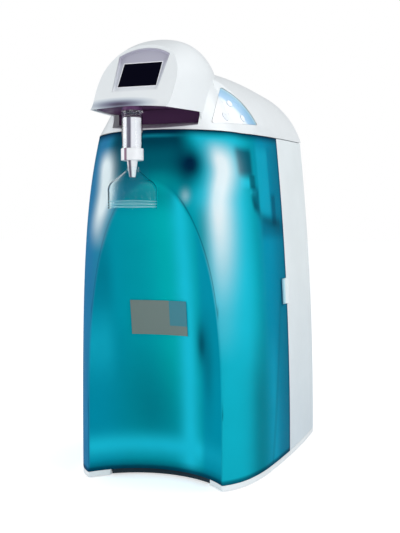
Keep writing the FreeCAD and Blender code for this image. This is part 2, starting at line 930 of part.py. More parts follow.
def final_filter():
    """Clear capsule, open below, with a neck that plugs into the outlet."""
    base = point(0, outlet_y, filter_bottom)
    shell = rod(filter_radius, filter_length, base, upward)
    shell = shell.cut(rod(filter_radius - filter_wall, filter_length - filter_wall, base, upward))
    neck_length = filter_wall + fit + socket_depth - 2 * fit
    neck = rod(filter_neck_radius, neck_length, point(0, outlet_y, filter_top - filter_wall), upward)
    shell = shell.fuse(neck)
    return shell.cut(rod(filter_neck_bore, neck_length, point(0, outlet_y, filter_top - filter_wall), upward))


def filter_core():
    length = filter_length - filter_wall - core_setback
    return rod(core_radius, length, point(0, outlet_y, filter_bottom), upward)


def filter_ring():
    base = point(0, outlet_y, ring_bottom)
    ring = rod(ring_radius, ring_length, base, upward)
    return ring.cut(rod(nozzle_bore, ring_length, base, upward))


def filter_nozzle():
    base = point(0, outlet_y, nozzle_tip)
    cone = Part.makeCone(nozzle_tip_radius, nozzle_top_radius, nozzle_length, base, upward)
    return cone.cut(rod(nozzle_bore, nozzle_length, base, upward))


def nozzle_radius_at(height):
    return mix(nozzle_tip_radius, nozzle_top_radius, (height - nozzle_tip) / nozzle_length)


def bell_outline(inset):
    """Half outline of the bell from rim to neck, moved inwards by inset."""
    bend_in, bend_up = bell_bend_shares
    taper_in, taper_down = bell_taper_shares
    shoulder_height = bell_neck_height - bell_shoulder_drop
    cone_height = bell_neck_height - bell_cone_drop
    rim = point(bell_radius - inset, 0, bell_neck_height - bell_rim_drop)
    shoulder = point(bell_radius - inset, 0, shoulder_height)
    bend_radius = mix(bell_radius, bell_cone_radius, bend_in) - inset
    bend = point(bend_radius, 0, mix(shoulder_height, cone_height, bend_up))
    cone = point(bell_cone_radius - inset * taper_in, 0, cone_height - inset * taper_down)
    neck_height = bell_neck_height - bell_neck_length - inset * taper_down
    neck = point(bell_neck_radius - inset * taper_in, 0, neck_height)
    return rim, shoulder, bend, cone, neck


def dispense_bell():
    """Bell that hangs on the nozzle by its neck."""
    rim, shoulder, bend, cone, neck = bell_outline(0.0)
    rim_in, shoulder_in, bend_in, cone_in, neck_in = bell_outline(bell_wall)
    hole = nozzle_radius_at(bell_neck_height) + running_gap
    top_out = point(bell_neck_radius, 0, bell_neck_height)
    top_in = point(hole, 0, bell_neck_height)
    low_in = point(hole, 0, neck_in.z)
    edges = [Part.makeLine(rim, shoulder), Part.Arc(shoulder, bend, cone).toShape(), Part.makeLine(cone, neck),
             Part.makeLine(neck, top_out), Part.makeLine(top_out, top_in), Part.makeLine(top_in, low_in),
             Part.makeLine(low_in, neck_in), Part.makeLine(neck_in, cone_in),
             Part.Arc(cone_in, bend_in, shoulder_in).toShape(), Part.makeLine(shoulder_in, rim_in),
             Part.makeLine(rim_in, rim)]
    bell = Part.Face(Part.Wire(edges)).revolve(point(0, 0, 0), upward, 360)
    bell.translate(backward * outlet_y)
    return bell


def screw_places():
    return [(side * screw_span, chassis_y + chassis_thickness + chassis_flange / 2) for side in (-1, 1)]


def chassis_panel():
    """Upright panel close behind the seam, with a foot flange on the tray floor."""
    floor = tray_bottom + tray_floor
    inner = body_solid(shell_wall + chassis_gap)
    foot = body_solid(tray_rim + chassis_gap)
    front = chassis_y
    panel = inner.common(slab(front, front + chassis_thickness, tray_height, parting_height - overrun))
    panel = panel.fuse(foot.common(slab(front, front + chassis_thickness, floor, tray_height)))
    flange_span = screw_span + chassis_flange
    flange = block(-flange_span, flange_span, front, front + chassis_thickness + chassis_flange,
                   floor, floor + chassis_thickness)
    panel = panel.fuse(flange)
    for x, y in screw_places():
        panel = panel.cut(rod(screw_radius + fit, chassis_thickness, point(x, y, floor), upward))
    latch_room = latch_hollow(2 * fit).cut(body_solid(latch_thickness + latch_travel + 2 * fit))
    panel = panel.cut(latch_room)
    pass_z = reservoir_bottom - shelf_thickness - overrun
    return panel.cut(rod(hose_radius + 2 * fit, chassis_thickness, point(outlet_x, front, pass_z), backward))


def chassis_screws():
    screws = []
    head_z = tray_bottom + tray_floor + chassis_thickness
    for x, y in screw_places():
        head = rod(screw_head_radius, screw_head_height, point(x, y, head_z), upward)
        screws.append(head.fuse(rod(screw_radius, screw_length, point(x, y, head_z - screw_length), upward)))
    return Part.makeCompound(screws)


def cartridge_cradle():
    base = point(cartridge_x, cartridge_y, tray_bottom + tray_floor)
    ring = rod(cartridge_radius + cradle_wall, cradle_height, base, upward)
    seat = point(cartridge_x, cartridge_y, cartridge_bottom)
    return ring.cut(rod(cartridge_radius + fit, cradle_height, seat, upward))


def purification_cartridge():
    length = cartridge_top - cartridge_bottom
    can = rod(cartridge_radius, length, point(cartridge_x, cartridge_y, cartridge_bottom), upward)
    rims = [edge for edge in can.Edges if abs(edge.Length - 2 * math.pi * cartridge_radius) < fit]
    can = can.makeFillet(cartridge_round, rims)
    neck = rod(cartridge_neck_radius, cartridge_neck_length, point(cartridge_x, cartridge_y, cartridge_top), upward)
    return can.fuse(neck)


def manifold_head():
    """Block that the cartridge's neck plugs into, fixed to the chassis."""
    body = block(cartridge_x - manifold_half_width, cartridge_x + manifold_half_width, manifold_front, chassis_y,
                 cartridge_top + fit, cartridge_top + manifold_height)
    neck = point(cartridge_x, cartridge_y, cartridge_top)
    return body.cut(rod(cartridge_neck_radius + running_gap, cartridge_neck_length + fit, neck, upward))


def uv_reactor():
    return rod(reactor_radius, reactor_length, point(reactor_x, reactor_y, reactor_bottom), upward)


def uv_end_caps():
    caps = []
    reactor_top = reactor_bottom + reactor_length
    for base in (reactor_bottom - cap_wall, reactor_top + cap_wall - cap_length):
        caps.append(rod(reactor_radius + cap_wall, cap_length, point(reactor_x, reactor_y, base), upward))
    sleeve = rod(reactor_radius + running_gap, reactor_length, point(reactor_x, reactor_y, reactor_bottom), upward)
    return Part.makeCompound([cap.cut(sleeve) for cap in caps])


def uv_clamps():
    clamps = []
    for clamp_share in clamp_shares:
        low = reactor_bottom + reactor_length * clamp_share
        arm = block(reactor_x - clamp_half_width, reactor_x + clamp_half_width,
                    reactor_y - clamp_half_width, chassis_y, low, low + clamp_height)
        clamps.append(arm.cut(rod(reactor_radius + running_gap, clamp_height, point(reactor_x, reactor_y, low), upward)))
    return Part.makeCompound(clamps)


def uv_ballast():
    floor = tray_bottom + tray_floor
    return block(ballast_x - ballast_half_width, ballast_x + ballast_half_width, ballast_front,
                 ballast_front + ballast_depth, floor, floor + ballast_height)


def pump_motor():
    return rod(pump_motor_radius, pump_motor_back - pump_motor_front,
               point(pump_x, pump_motor_front, pump_z), backward)


def pump_head():
    front = pump_motor_front - pump_head_length
    head = rod(pump_head_radius, pump_head_length, point(pump_x, front, pump_z), backward)
    middle = front + pump_head_length / 2
    port = rod(hose_radius + fit, pump_head_radius + fit, point(pump_x, middle, pump_z), upward)
    side = rod(hose_radius + fit, pump_head_radius + fit, point(pump_x, middle, pump_z), across * -1)
    return head.fuse([port, side])


def pump_saddle():
    floor = tray_bottom + tray_floor
    saddle = block(pump_x - saddle_half_width, pump_x + saddle_half_width, saddle_front,
                   saddle_front + saddle_length, floor, pump_z - pump_motor_radius + saddle_height)
    axis_base = point(pump_x, saddle_front, pump_z)
    return saddle.cut(rod(pump_motor_radius + running_gap, saddle_length, axis_base, backward))


def dispense_valve():
    low = valve_bottom
    body = block(valve_x - valve_half_width, valve_x + valve_half_width, valve_y - valve_half_width,
                 valve_y + valve_half_width, low, low + valve_height)
    foot = block(valve_x - valve_foot_half_width, valve_x + valve_foot_half_width, valve_y - valve_foot_half_width,
                 valve_y + valve_foot_half_width, low - valve_foot_height, low)
    stem = block(valve_x - stem_half_width, valve_x + stem_half_width, valve_y, chassis_y, low, low + stem_half_width)
    return body.fuse([foot, stem])


def resistivity_cell():
    cell = rod(cell_radius, cell_length, point(cell_x, cell_front, cell_z), backward)
    start = cell_front + cell_length
    return cell.fuse(rod(stem_half_width, chassis_y - start, point(cell_x, start, cell_z), backward))


def hose_path(route):
    """Wire of straight runs joined by tangent arcs, each as large as its runs allow."""
    edges = []
    start = route[0]
    for before, corner, after in zip(route, route[1:], route[2:]):
        inward = (corner - before).normalize()
        onward = (after - corner).normalize()
        shorter = min((corner - before).Length, (after - corner).Length)
        trim = hose_run_share * shorter
        turn = inward.getAngle(onward)
        radius = trim / math.tan(turn / 2)
        arc_start = corner - inward * trim
        arc_end = corner + onward * trim
        bisector = (onward - inward).normalize()
        centre = corner + bisector * (radius / math.cos(turn / 2))
        arc_middle = centre - bisector * radius
        edges.append(Part.makeLine(start, arc_start))
        edges.append(Part.Arc(arc_start, arc_middle, arc_end).toShape())
        start = arc_end
    edges.append(Part.makeLine(start, route[-1]))
    return Part.Wire(edges)


def hose(places):
    route = [point(*place) for place in places]
    path = hose_path(route)
    solids = []
    for radius in (hose_radius, hose_bore):
        circle = Part.Wire([Part.Circle(route[0], route[1] - route[0], radius).toShape()])
        solids.append(path.makePipeShell([circle], True, False))
    return solids[0].cut(solids[1])


def feed_hose():
    pass_z = reservoir_bottom - shelf_thickness - overrun
    front = chassis_y - overrun
    port_y = pump_motor_front - pump_head_length / 2
    return hose([(outlet_x, reservoir_outlet_y, reservoir_bottom - spigot_length),
                 (outlet_x, reservoir_outlet_y, pass_z), (outlet_x, front, pass_z),
                 (outlet_x, front, pass_z - 3 * overrun), (outlet_x, port_y, 3 * pump_z),
                 (outlet_x, port_y, pump_z), (pump_x - pump_head_radius - fit, port_y, pump_z)])


def cartridge_hose():
    port_y = pump_motor_front - pump_head_length / 2
    start_z = pump_z + pump_head_radius + fit
    riser_x = outlet_x + 3 * hose_radius
    middle_z = cartridge_top + manifold_height / 2
    riser_y = port_y - 2 * hose_radius
    return hose([(pump_x, port_y, start_z), (pump_x, port_y, start_z + 3 * hose_radius),
                 (pump_x, riser_y - 2 * hose_radius, start_z + 7 * hose_radius),
                 (riser_x, riser_y, start_z + 10 * hose_radius), (riser_x, manifold_front + 3 * hose_radius, middle_z),
                 (cartridge_x + manifold_half_width, manifold_front + 3 * hose_radius, middle_z)])


def reactor_hose():
    middle_z = cartridge_top + manifold_height / 2
    start_y = cartridge_y + 3 * hose_radius
    riser_x = outlet_x - 3.5 * hose_radius
    end_x = reactor_x - reactor_radius - cap_wall
    end_z = reactor_bottom - cap_wall + cap_length / 2
    return hose([(cartridge_x + manifold_half_width, start_y, middle_z), (riser_x, start_y, middle_z),
                 (riser_x, reactor_y, end_z), (end_x, reactor_y, end_z)])


def cell_hose():
    start_z = reactor_bottom + reactor_length + cap_wall
    rise = cell_z - cell_radius - start_z
    cell_middle = cell_front + cell_length / 2
    low_share, high_share = cell_rise_shares
    return hose([(reactor_x, reactor_y, start_z), (reactor_x, reactor_y, start_z + rise * low_share),
                 (cell_x, cell_middle, start_z + rise * high_share), (cell_x, cell_middle, cell_z - cell_radius)])


def valve_hose():
    start_x = cell_x + cell_radius
    end_x = valve_x - valve_half_width
    start_y = cell_front + cell_length * cell_port_share
    end_z = valve_bottom + valve_height / 2
    near_share, far_share = valve_run_shares
    return hose([(start_x, start_y, cell_z), (mix(start_x, end_x, near_share), start_y, cell_z),
                 (mix(start_x, end_x, far_share), valve_y, end_z), (end_x, valve_y, end_z)])


def outlet_hose():
    """From the valve through the dome into the head, and down to the elbow."""
    start_z = valve_bottom + valve_height
    pass_y = (pass_front + pass_back) / 2
    pass_x = pass_half_width - 2 * hose_radius
    crown = dome_axis_at(pass_y) + dome_radius(pass_y)
    elbow_back = outlet_y + elbow_setback + elbow_length
    elbow_z = elbow_middle()
    return hose([(valve_x, valve_y, start_z), (valve_x, valve_y, start_z + 6 * hose_radius),
                 (pass_x, pass_y + 2 * hose_radius, crown - 7 * hose_radius), (pass_x, pass_y, crown + 2 * hose_radius),
                 (pass_x + hose_radius, neck_front + 3 * hose_radius, crown - hose_radius),
                 (pass_x, neck_front - 7 * hose_radius, elbow_z + 2 * hose_radius),
                 (0, elbow_back + 4 * hose_radius, elbow_z), (0, elbow_back, elbow_z)])


def reservoir():
    """Feed tank with a mouth on top, a spigot below, and rounded upright corners."""
    width = reservoir_half_width
    tank = block(-width, width, reservoir_front, reservoir_back, reservoir_bottom, reservoir_top)
    upright = [edge for edge in tank.Edges if abs(edge.Vertexes[0].Z - edge.Vertexes[1].Z) > reservoir_round]
    tank = tank.makeFillet(reservoir_round, upright)
    hollow = block(-width + reservoir_wall, width - reservoir_wall, reservoir_front + reservoir_wall,
                   reservoir_back - reservoir_wall, reservoir_bottom + reservoir_wall, reservoir_top - reservoir_wall)
    upright = [edge for edge in hollow.Edges if abs(edge.Vertexes[0].Z - edge.Vertexes[1].Z) > reservoir_round]
    tank = tank.cut(hollow.makeFillet(reservoir_round - reservoir_wall, upright))
    tank = tank.cut(rod(mouth_radius, reservoir_wall, point(0, mouth_y, reservoir_top - reservoir_wall), upward))
    spigot_base = point(outlet_x, reservoir_outlet_y, reservoir_bottom - spigot_length)
    tank = tank.fuse(rod(hose_radius, spigot_length, spigot_base, upward))
    return tank.cut(rod(hose_bore, spigot_length + reservoir_wall, spigot_base, upward))


def reservoir_shelf():
    top = reservoir_bottom
    shelf = block(-shelf_half_width, shelf_half_width, chassis_y + chassis_thickness, reservoir_back,
                  top - shelf_thickness, top)
    hole = point(outlet_x, reservoir_outlet_y, top - shelf_thickness)
    return shelf.cut(rod(hose_radius + fit, shelf_thickness, hole, upward))


def fill_funnel():
    """Collar in the tank's mouth that widens up to the lid."""
    neck = mouth_radius - fit
    low = reservoir_top - funnel_insert
    collar = rod(neck, funnel_insert, point(0, mouth_y, low), upward)
    cone = Part.makeCone(neck, funnel_top_radius, funnel_top - reservoir_top, point(0, mouth_y, reservoir_top), upward)
    flange = rod(neck + ledge, funnel_wall, point(0, mouth_y, reservoir_top), upward)
    bore = rod(neck - funnel_wall, funnel_insert, point(0, mouth_y, low), upward)
    inside = Part.makeCone(neck - funnel_wall, funnel_top_radius - funnel_wall, funnel_top - reservoir_top,
                           point(0, mouth_y, reservoir_top), upward)
    return collar.fuse([cone, flange]).cut(bore).cut(inside)


def level_rod():
    low = reservoir_bottom + reservoir_wall
    length = reservoir_top - reservoir_wall - rod_headroom - low
    return rod(rod_radius, length, point(rod_x, mouth_y, low), upward)


def level_float():
    low = point(rod_x, mouth_y, reservoir_bottom + reservoir_wall + fit)
    body = rod(float_radius, float_height, low, upward)
    return body.cut(rod(rod_radius + float_gap, float_height, low, upward))


def board_corners():
    places = []
    for x in (-control_half_width + standoff_inset, control_half_width - standoff_inset):
        for z in (control_bottom + standoff_inset, control_bottom + control_height - standoff_inset):
            places.append((x, z))
    return places


def board_standoffs():
    start = chassis_y + chassis_thickness
    return Part.makeCompound([rod(standoff_radius, standoff_length, point(x, start, z), backward)
                              for x, z in board_corners()])


def control_board():
    """Printed board with its larger components."""
    front = chassis_y + chassis_thickness + standoff_length
    back = front + board_thickness
    top = control_bottom + control_height
    board = block(-control_half_width, control_half_width, front, back, control_bottom, top)
    for x_share, z_share, size_share in component_shares:
        size = size_share * control_half_width
        x = x_share * control_half_width
        z = control_bottom + z_share * control_height
        board = board.fuse(block(x - size, x + size, back, back + chip_height, z - size, z + size))
    return board


def power_inlet():
    """Socket flush with the back, with its two pins inside."""
    body = block(inlet_x - inlet_half_width, inlet_x + inlet_half_width, body_depth - inlet_depth, body_depth,
                 inlet_z - inlet_half_height, inlet_z + inlet_half_height)
    half_span = inlet_half_width - 2 * rocker_frame_wall
    half_height = inlet_half_height - 2 * rocker_frame_wall
    body = body.cut(block(inlet_x - half_span, inlet_x + half_span, body_depth - inlet_cavity_depth, body_depth,
                          inlet_z - half_height, inlet_z + half_height))
    pins = []
    for side in (-1, 1):
        base = point(inlet_x + side * half_span / 2, body_depth - inlet_cavity_depth, inlet_z)
        pins.append(rod(pin_radius, pin_length, base, backward))
    return body.fuse(pins)


def switch_frame():
    half_span = rocker_half_width + rocker_gap
    half_height = rocker_half_height + rocker_gap
    wall = rocker_frame_wall
    frame = block(switch_x - half_span - wall, switch_x + half_span + wall, body_depth - rocker_frame_depth,
                  body_depth, inlet_z - half_height - wall, inlet_z + half_height + wall)
    frame = frame.cut(block(switch_x - half_span, switch_x + half_span, body_depth - rocker_frame_depth + wall,
                            body_depth, inlet_z - half_height, inlet_z + half_height))
    return frame.cut(rocker_pivot(running_gap))


def rocker_pivot(margin):
    """Pin that the rocker turns on, grown by margin."""
    half = rocker_half_width + rocker_gap + pivot_reach + margin
    start = point(switch_x - half, body_depth - rocker_depth, inlet_z)
    return rod(pivot_radius + margin, 2 * half, start, across)


def power_rocker():
    """Rocker with a face that dips in the middle, turning about X."""
    axis_y = body_depth - rocker_depth
    half = rocker_half_height
    face = body_depth - 2 * rocker_gap
    middle = face - rocker_frame_wall
    outline = ((face - rocker_frame_wall / 2, inlet_z + half - rocker_gap), (middle, inlet_z),
               (face - rocker_frame_wall / 2, inlet_z - half + rocker_gap),
               (axis_y, inlet_z - half + rocker_frame_wall), (axis_y - rocker_gap, inlet_z),
               (axis_y, inlet_z + half - rocker_frame_wall))
    rocker = prism_across(outline, rocker_half_width)
    rocker.rotate(point(0, axis_y, inlet_z), across, -rocker_turn)
    rocker.translate(across * switch_x)
    return rocker.fuse(rocker_pivot(0.0))


nodes = {
    "base_tray": base_tray,
    "plinth_strip": plinth_strip,
    "foot_pads": foot_pads,
    "front_cover": front_cover,
    "back_shell": back_shell,
    "latch_right": lambda: latch(1),
    "latch_left": lambda: latch(-1),
    "name_plate": name_plate,
    "dome_housing": dome_housing,
    "fill_lid": fill_lid,
    "keypad_window": keypad_window,
    "key_dispense": lambda: key("key_dispense"),
    "key_menu": lambda: key("key_menu"),
    "key_standby": lambda: key("key_standby"),
    "keypad_board": keypad_board,
    "head_shell": head_shell,
    "head_floor": head_floor,
    "neck_panel": neck_panel,
    "display_bezel": display_bezel,
    "display_glass": display_glass,
    "display_module": display_module,
    "outlet_port": outlet_port,
    "final_filter": final_filter,
    "filter_core": filter_core,
    "filter_ring": filter_ring,
    "filter_nozzle": filter_nozzle,
    "dispense_bell": dispense_bell,
    "chassis_panel": chassis_panel,
    "chassis_screws": chassis_screws,
    "cartridge_cradle": cartridge_cradle,
    "purification_cartridge": purification_cartridge,
    "manifold_head": manifold_head,
    "uv_reactor": uv_reactor,
    "uv_end_caps": uv_end_caps,
    "uv_clamps": uv_clamps,
    "uv_ballast": uv_ballast,
    "pump_motor": pump_motor,
    "pump_head": pump_head,
    "pump_saddle": pump_saddle,
    "dispense_valve": dispense_valve,
    "resistivity_cell": resistivity_cell,
    "feed_hose": feed_hose,
    "cartridge_hose": cartridge_hose,
    "reactor_hose": reactor_hose,
    "cell_hose": cell_hose,
    "valve_hose": valve_hose,
    "outlet_hose": outlet_hose,
    "reservoir": reservoir,
    "reservoir_shelf": reservoir_shelf,
    "fill_funnel": fill_funnel,
    "level_rod": level_rod,
    "level_float": level_float,
    "board_standoffs": board_standoffs,
    "control_board": control_board,
    "power_inlet": power_inlet,
    "switch_frame": switch_frame,
    "power_rocker": power_rocker,
}

os.makedirs("parts", exist_ok=True)
for node, make in nodes.items():
    shape = make()
    shape.translate(middle_shift)
    shape.exportStep(f"parts/{node}.step")
    print(node, "valid" if shape.isValid() else "NOT VALID", len(shape.Solids), round(shape.Volume))
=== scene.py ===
import json
import math

import bpy
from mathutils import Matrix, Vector

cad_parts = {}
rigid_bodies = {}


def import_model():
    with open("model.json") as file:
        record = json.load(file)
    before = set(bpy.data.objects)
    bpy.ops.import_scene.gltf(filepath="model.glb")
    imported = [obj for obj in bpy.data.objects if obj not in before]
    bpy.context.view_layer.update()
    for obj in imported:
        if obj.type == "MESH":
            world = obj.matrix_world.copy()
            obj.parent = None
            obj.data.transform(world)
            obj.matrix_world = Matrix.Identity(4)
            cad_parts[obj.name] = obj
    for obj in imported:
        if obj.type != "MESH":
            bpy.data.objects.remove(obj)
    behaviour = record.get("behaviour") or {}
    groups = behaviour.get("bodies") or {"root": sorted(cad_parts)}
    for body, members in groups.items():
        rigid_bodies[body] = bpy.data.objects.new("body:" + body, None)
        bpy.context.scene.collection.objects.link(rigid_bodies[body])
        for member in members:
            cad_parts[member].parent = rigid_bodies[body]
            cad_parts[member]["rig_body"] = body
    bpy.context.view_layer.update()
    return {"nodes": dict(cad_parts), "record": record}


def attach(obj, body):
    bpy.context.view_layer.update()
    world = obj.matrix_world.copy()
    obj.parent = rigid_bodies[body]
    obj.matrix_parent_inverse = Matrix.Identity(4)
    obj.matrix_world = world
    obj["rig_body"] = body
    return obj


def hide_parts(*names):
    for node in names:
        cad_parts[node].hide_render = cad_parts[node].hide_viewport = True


# Benchtop ultrapure water system: frosted teal cover, white shells, a display head over the flask bay
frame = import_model()
mm = 0.001
middleY = -112.5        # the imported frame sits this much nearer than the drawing's own zero


def at(x, y, z):
    return Vector((x * mm, (y + middleY) * mm, z * mm))


def deselectAll():
    if bpy.context.mode != "OBJECT":
        bpy.ops.object.mode_set(mode="OBJECT")
    bpy.ops.object.select_all(action="DESELECT")


def pick(piece):
    deselectAll()
    piece.select_set(True)
    bpy.context.view_layer.objects.active = piece


def editAll(piece):
    pick(piece)
    bpy.ops.object.mode_set(mode="EDIT")
    bpy.ops.mesh.select_all(action="SELECT")


def applyAll(piece):
    pick(piece)
    for modifier in list(piece.modifiers):
        bpy.ops.object.modifier_apply(modifier=modifier.name)


# Camera at the photo's angle

photoCamera = {
    "place": (358.9, -907.1, 320.5), "turn": 18.2, "dip": 2.913, "lens": 54.03, "sensor": 36, "near": 0.05,
}


def placeCamera():
    tip = math.radians(90 - photoCamera["dip"])
    bpy.ops.object.camera_add(location=at(*photoCamera["place"]),
                              rotation=(tip, 0, math.radians(photoCamera["turn"])))
    camera = bpy.context.object
    camera.name = "photoCamera"
    camera.data.lens = photoCamera["lens"]
    camera.data.sensor_width = photoCamera["sensor"]
    camera.data.clip_start = photoCamera["near"]
    bpy.context.scene.camera = camera


placeCamera()
print("camera placed")


# Finishes

def newMaterial(name):
    material = bpy.data.materials.new(name)
    material.use_nodes = True
    nodes = material.node_tree.nodes
    return material, nodes, material.node_tree.links, nodes["Principled BSDF"]


def noiseOf(nodes, links, scale, detail=3.0, rough=0.5):
    coords = nodes.new("ShaderNodeTexCoord")
    noise = nodes.new("ShaderNodeTexNoise")
    noise.inputs["Scale"].default_value = scale
    noise.inputs["Detail"].default_value = detail
    noise.inputs["Roughness"].default_value = rough
    links.new(coords.outputs["Object"], noise.inputs["Vector"])
    return noise.outputs["Fac"]


def rampOf(nodes, links, source, stops):
    ramp = nodes.new("ShaderNodeValToRGB")
    while len(ramp.color_ramp.elements) < len(stops):
        ramp.color_ramp.elements.new(0.5)
    for element, (place, color) in zip(ramp.color_ramp.elements, stops):
        element.position = place
        element.color = (*color, 1) if isinstance(color, tuple) else (color, color, color, 1)
    links.new(source, ramp.inputs["Fac"])
    return ramp.outputs["Color"]


def spotOf(nodes, links, centre, reach):
    # 1 at a place on the object, falling to 0 at its reach on each side
    coords = nodes.new("ShaderNodeTexCoord")
    mapping = nodes.new("ShaderNodeMapping")
    middle = at(*centre)
    mapping.inputs["Scale"].default_value = [1 / (side * mm) for side in reach]
    mapping.inputs["Location"].default_value = [-a / (side * mm) for a, side in zip(middle, reach)]
    links.new(coords.outputs["Object"], mapping.inputs["Vector"])
    gradient = nodes.new("ShaderNodeTexGradient")
    gradient.gradient_type = "SPHERICAL"
    links.new(mapping.outputs["Vector"], gradient.inputs["Vector"])
    return gradient.outputs["Fac"]


def runOf(nodes, links, axis, low, high):
    # 0 to 1 along one axis of the object between two places in millimetres
    coords = nodes.new("ShaderNodeTexCoord")
    split = nodes.new("ShaderNodeSeparateXYZ")
    links.new(coords.outputs["Object"], split.inputs[0])
    fit = nodes.new("ShaderNodeMapRange")
    links.new(split.outputs[axis], fit.inputs["Value"])
    fit.inputs["From Min"].default_value = low * mm
    fit.inputs["From Max"].default_value = high * mm
    return fit.outputs["Result"]


def multiplied(nodes, links, first, second):
    mixed = nodes.new("ShaderNodeMix")
    mixed.data_type = "RGBA"
    mixed.blend_type = "MULTIPLY"
    mixed.inputs["Factor"].default_value = 1.0
    links.new(first, mixed.inputs["A"])
    links.new(second, mixed.inputs["B"])
    return mixed.outputs["Result"]


def parts(material):
    return material.node_tree.nodes, material.node_tree.links


def tintBy(material, source, stops):
    # multiplies a ramp into the colour that already runs into the shader
    nodes, links = parts(material)
    base = nodes["Principled BSDF"].inputs["Base Color"]
    links.new(multiplied(nodes, links, base.links[0].from_socket, rampOf(nodes, links, source, stops)), base)
    return material


def bumpOf(nodes, links, source, shader, strength, distance):
    bump = nodes.new("ShaderNodeBump")
    bump.inputs["Strength"].default_value = strength
    bump.inputs["Distance"].default_value = distance
    links.new(source, bump.inputs["Height"])
    links.new(bump.outputs["Normal"], shader.inputs["Normal"])


moulding = {
    "clouds": 14, "cloudStops": (0.35, 0.65), "vary": 0.04, "wear": 60, "wearStops": (0.3, 0.7),
    "smoother": 0.85, "rougher": 1.15, "coatRough": 0.12, "grain": 900, "bump": 0.25, "depth": 0.00005,
}


def mouldedPlastic(name, color, rough, coat=0.0, gloss=0.5):
    # satin moulding: faint clouding, uneven polish and a fine grain
    material, nodes, links, shader = newMaterial(name)
    darker = tuple(c * (1 - moulding["vary"]) for c in color)
    cloudy = noiseOf(nodes, links, moulding["clouds"], 4)
    clouds = rampOf(nodes, links, cloudy, tuple(zip(moulding["cloudStops"], (darker, color))))
    links.new(clouds, shader.inputs["Base Color"])
    wear = noiseOf(nodes, links, moulding["wear"], 5, 0.6)
    spread = (rough * moulding["smoother"], rough * moulding["rougher"])
    links.new(rampOf(nodes, links, wear, tuple(zip(moulding["wearStops"], spread))), shader.inputs["Roughness"])
    shader.inputs["Coat Weight"].default_value = coat
    shader.inputs["Coat Roughness"].default_value = moulding["coatRough"]
    shader.inputs["Specular IOR Level"].default_value = gloss
    grain = noiseOf(nodes, links, moulding["grain"], 2)
    bumpOf(nodes, links, grain, shader, moulding["bump"], moulding["depth"])
    return material


clearWall = {"clouds": 40, "faint": 0.985, "smear": 90, "smeared": 2}


def clearPlastic(name, tint, rough, ior):
    # clear moulding, a little cloudy and smeared in places
    material, nodes, links, shader = newMaterial(name)
    faint = tuple(c * clearWall["faint"] for c in tint)
    clouds = rampOf(nodes, links, noiseOf(nodes, links, clearWall["clouds"]), ((0.3, faint), (0.7, tint)))
    links.new(clouds, shader.inputs["Base Color"])
    smear = noiseOf(nodes, links, clearWall["smear"])
    polish = rampOf(nodes, links, smear, ((0.3, rough), (0.8, rough * clearWall["smeared"])))
    links.new(polish, shader.inputs["Roughness"])
    shader.inputs["IOR"].default_value = ior
    shader.inputs["Transmission Weight"].default_value = 1.0
    return material


# teal is the plastic's own colour; blue, dark, navy and steel are laid over it as painted shade, and green,
# cyan and pale as painted light, pale for highlights
frostedTeal = {
    "navy": (0.0, 0.02, 0.06), "dark": (0.0, 0.10, 0.15), "blue": (0.0, 0.28, 0.47),
    "teal": (0.0, 0.355, 0.44), "green": (0.0, 0.55, 0.54), "cyan": (0.012, 0.62, 0.80),
    "pale": (0.86, 0.97, 1.0), "steel": (0.03, 0.20, 0.42),
    "clouds": 9, "wear": 45, "rough": 0.36, "ior": 1.12, "through": 0.16, "gloss": 0.02,
    "grain": 1500, "bump": 0.5, "depth": 0.00025,
}


def tealPlastic():
    # the teal's colour, with painted light and shade over the wall, is stored with the cover's points
    material, nodes, links, shader = newMaterial("frostedTeal")
    tint = nodes.new("ShaderNodeAttribute")
    tint.attribute_name = "wallTintAndLight"
    clouds = rampOf(nodes, links, noiseOf(nodes, links, frostedTeal["clouds"], 3), ((0.3, 0.90), (0.7, 1.0)))
    links.new(multiplied(nodes, links, tint.outputs["Color"], clouds), shader.inputs["Base Color"])
    wear = noiseOf(nodes, links, frostedTeal["wear"], 4, 0.6)
    rough = frostedTeal["rough"]
    polish = rampOf(nodes, links, wear, ((0.3, rough * 0.9), (0.7, rough * 1.1)))
    links.new(polish, shader.inputs["Roughness"])
    shader.inputs["IOR"].default_value = frostedTeal["ior"]
    shader.inputs["Transmission Weight"].default_value = frostedTeal["through"]
    shader.inputs["Specular IOR Level"].default_value = frostedTeal["gloss"]
    grain = noiseOf(nodes, links, frostedTeal["grain"], 2)
    bumpOf(nodes, links, grain, shader, frostedTeal["bump"], frostedTeal["depth"])
    return material


keypad = {
    "turn": 18.2, "centre": (34.5, -39.1), "level": 434.5, "radius": 111.9, "band": 20,
    "stops": ((0.1, (1.0, 1.0, 1.0)), (0.3, (0.80, 0.90, 0.97)), (0.45, (0.38, 0.60, 0.82)),
              (0.8, (0.28, 0.52, 0.72)), (0.93, (0.36, 0.57, 0.66)), (1.0, (0.60, 0.70, 0.72))),
}


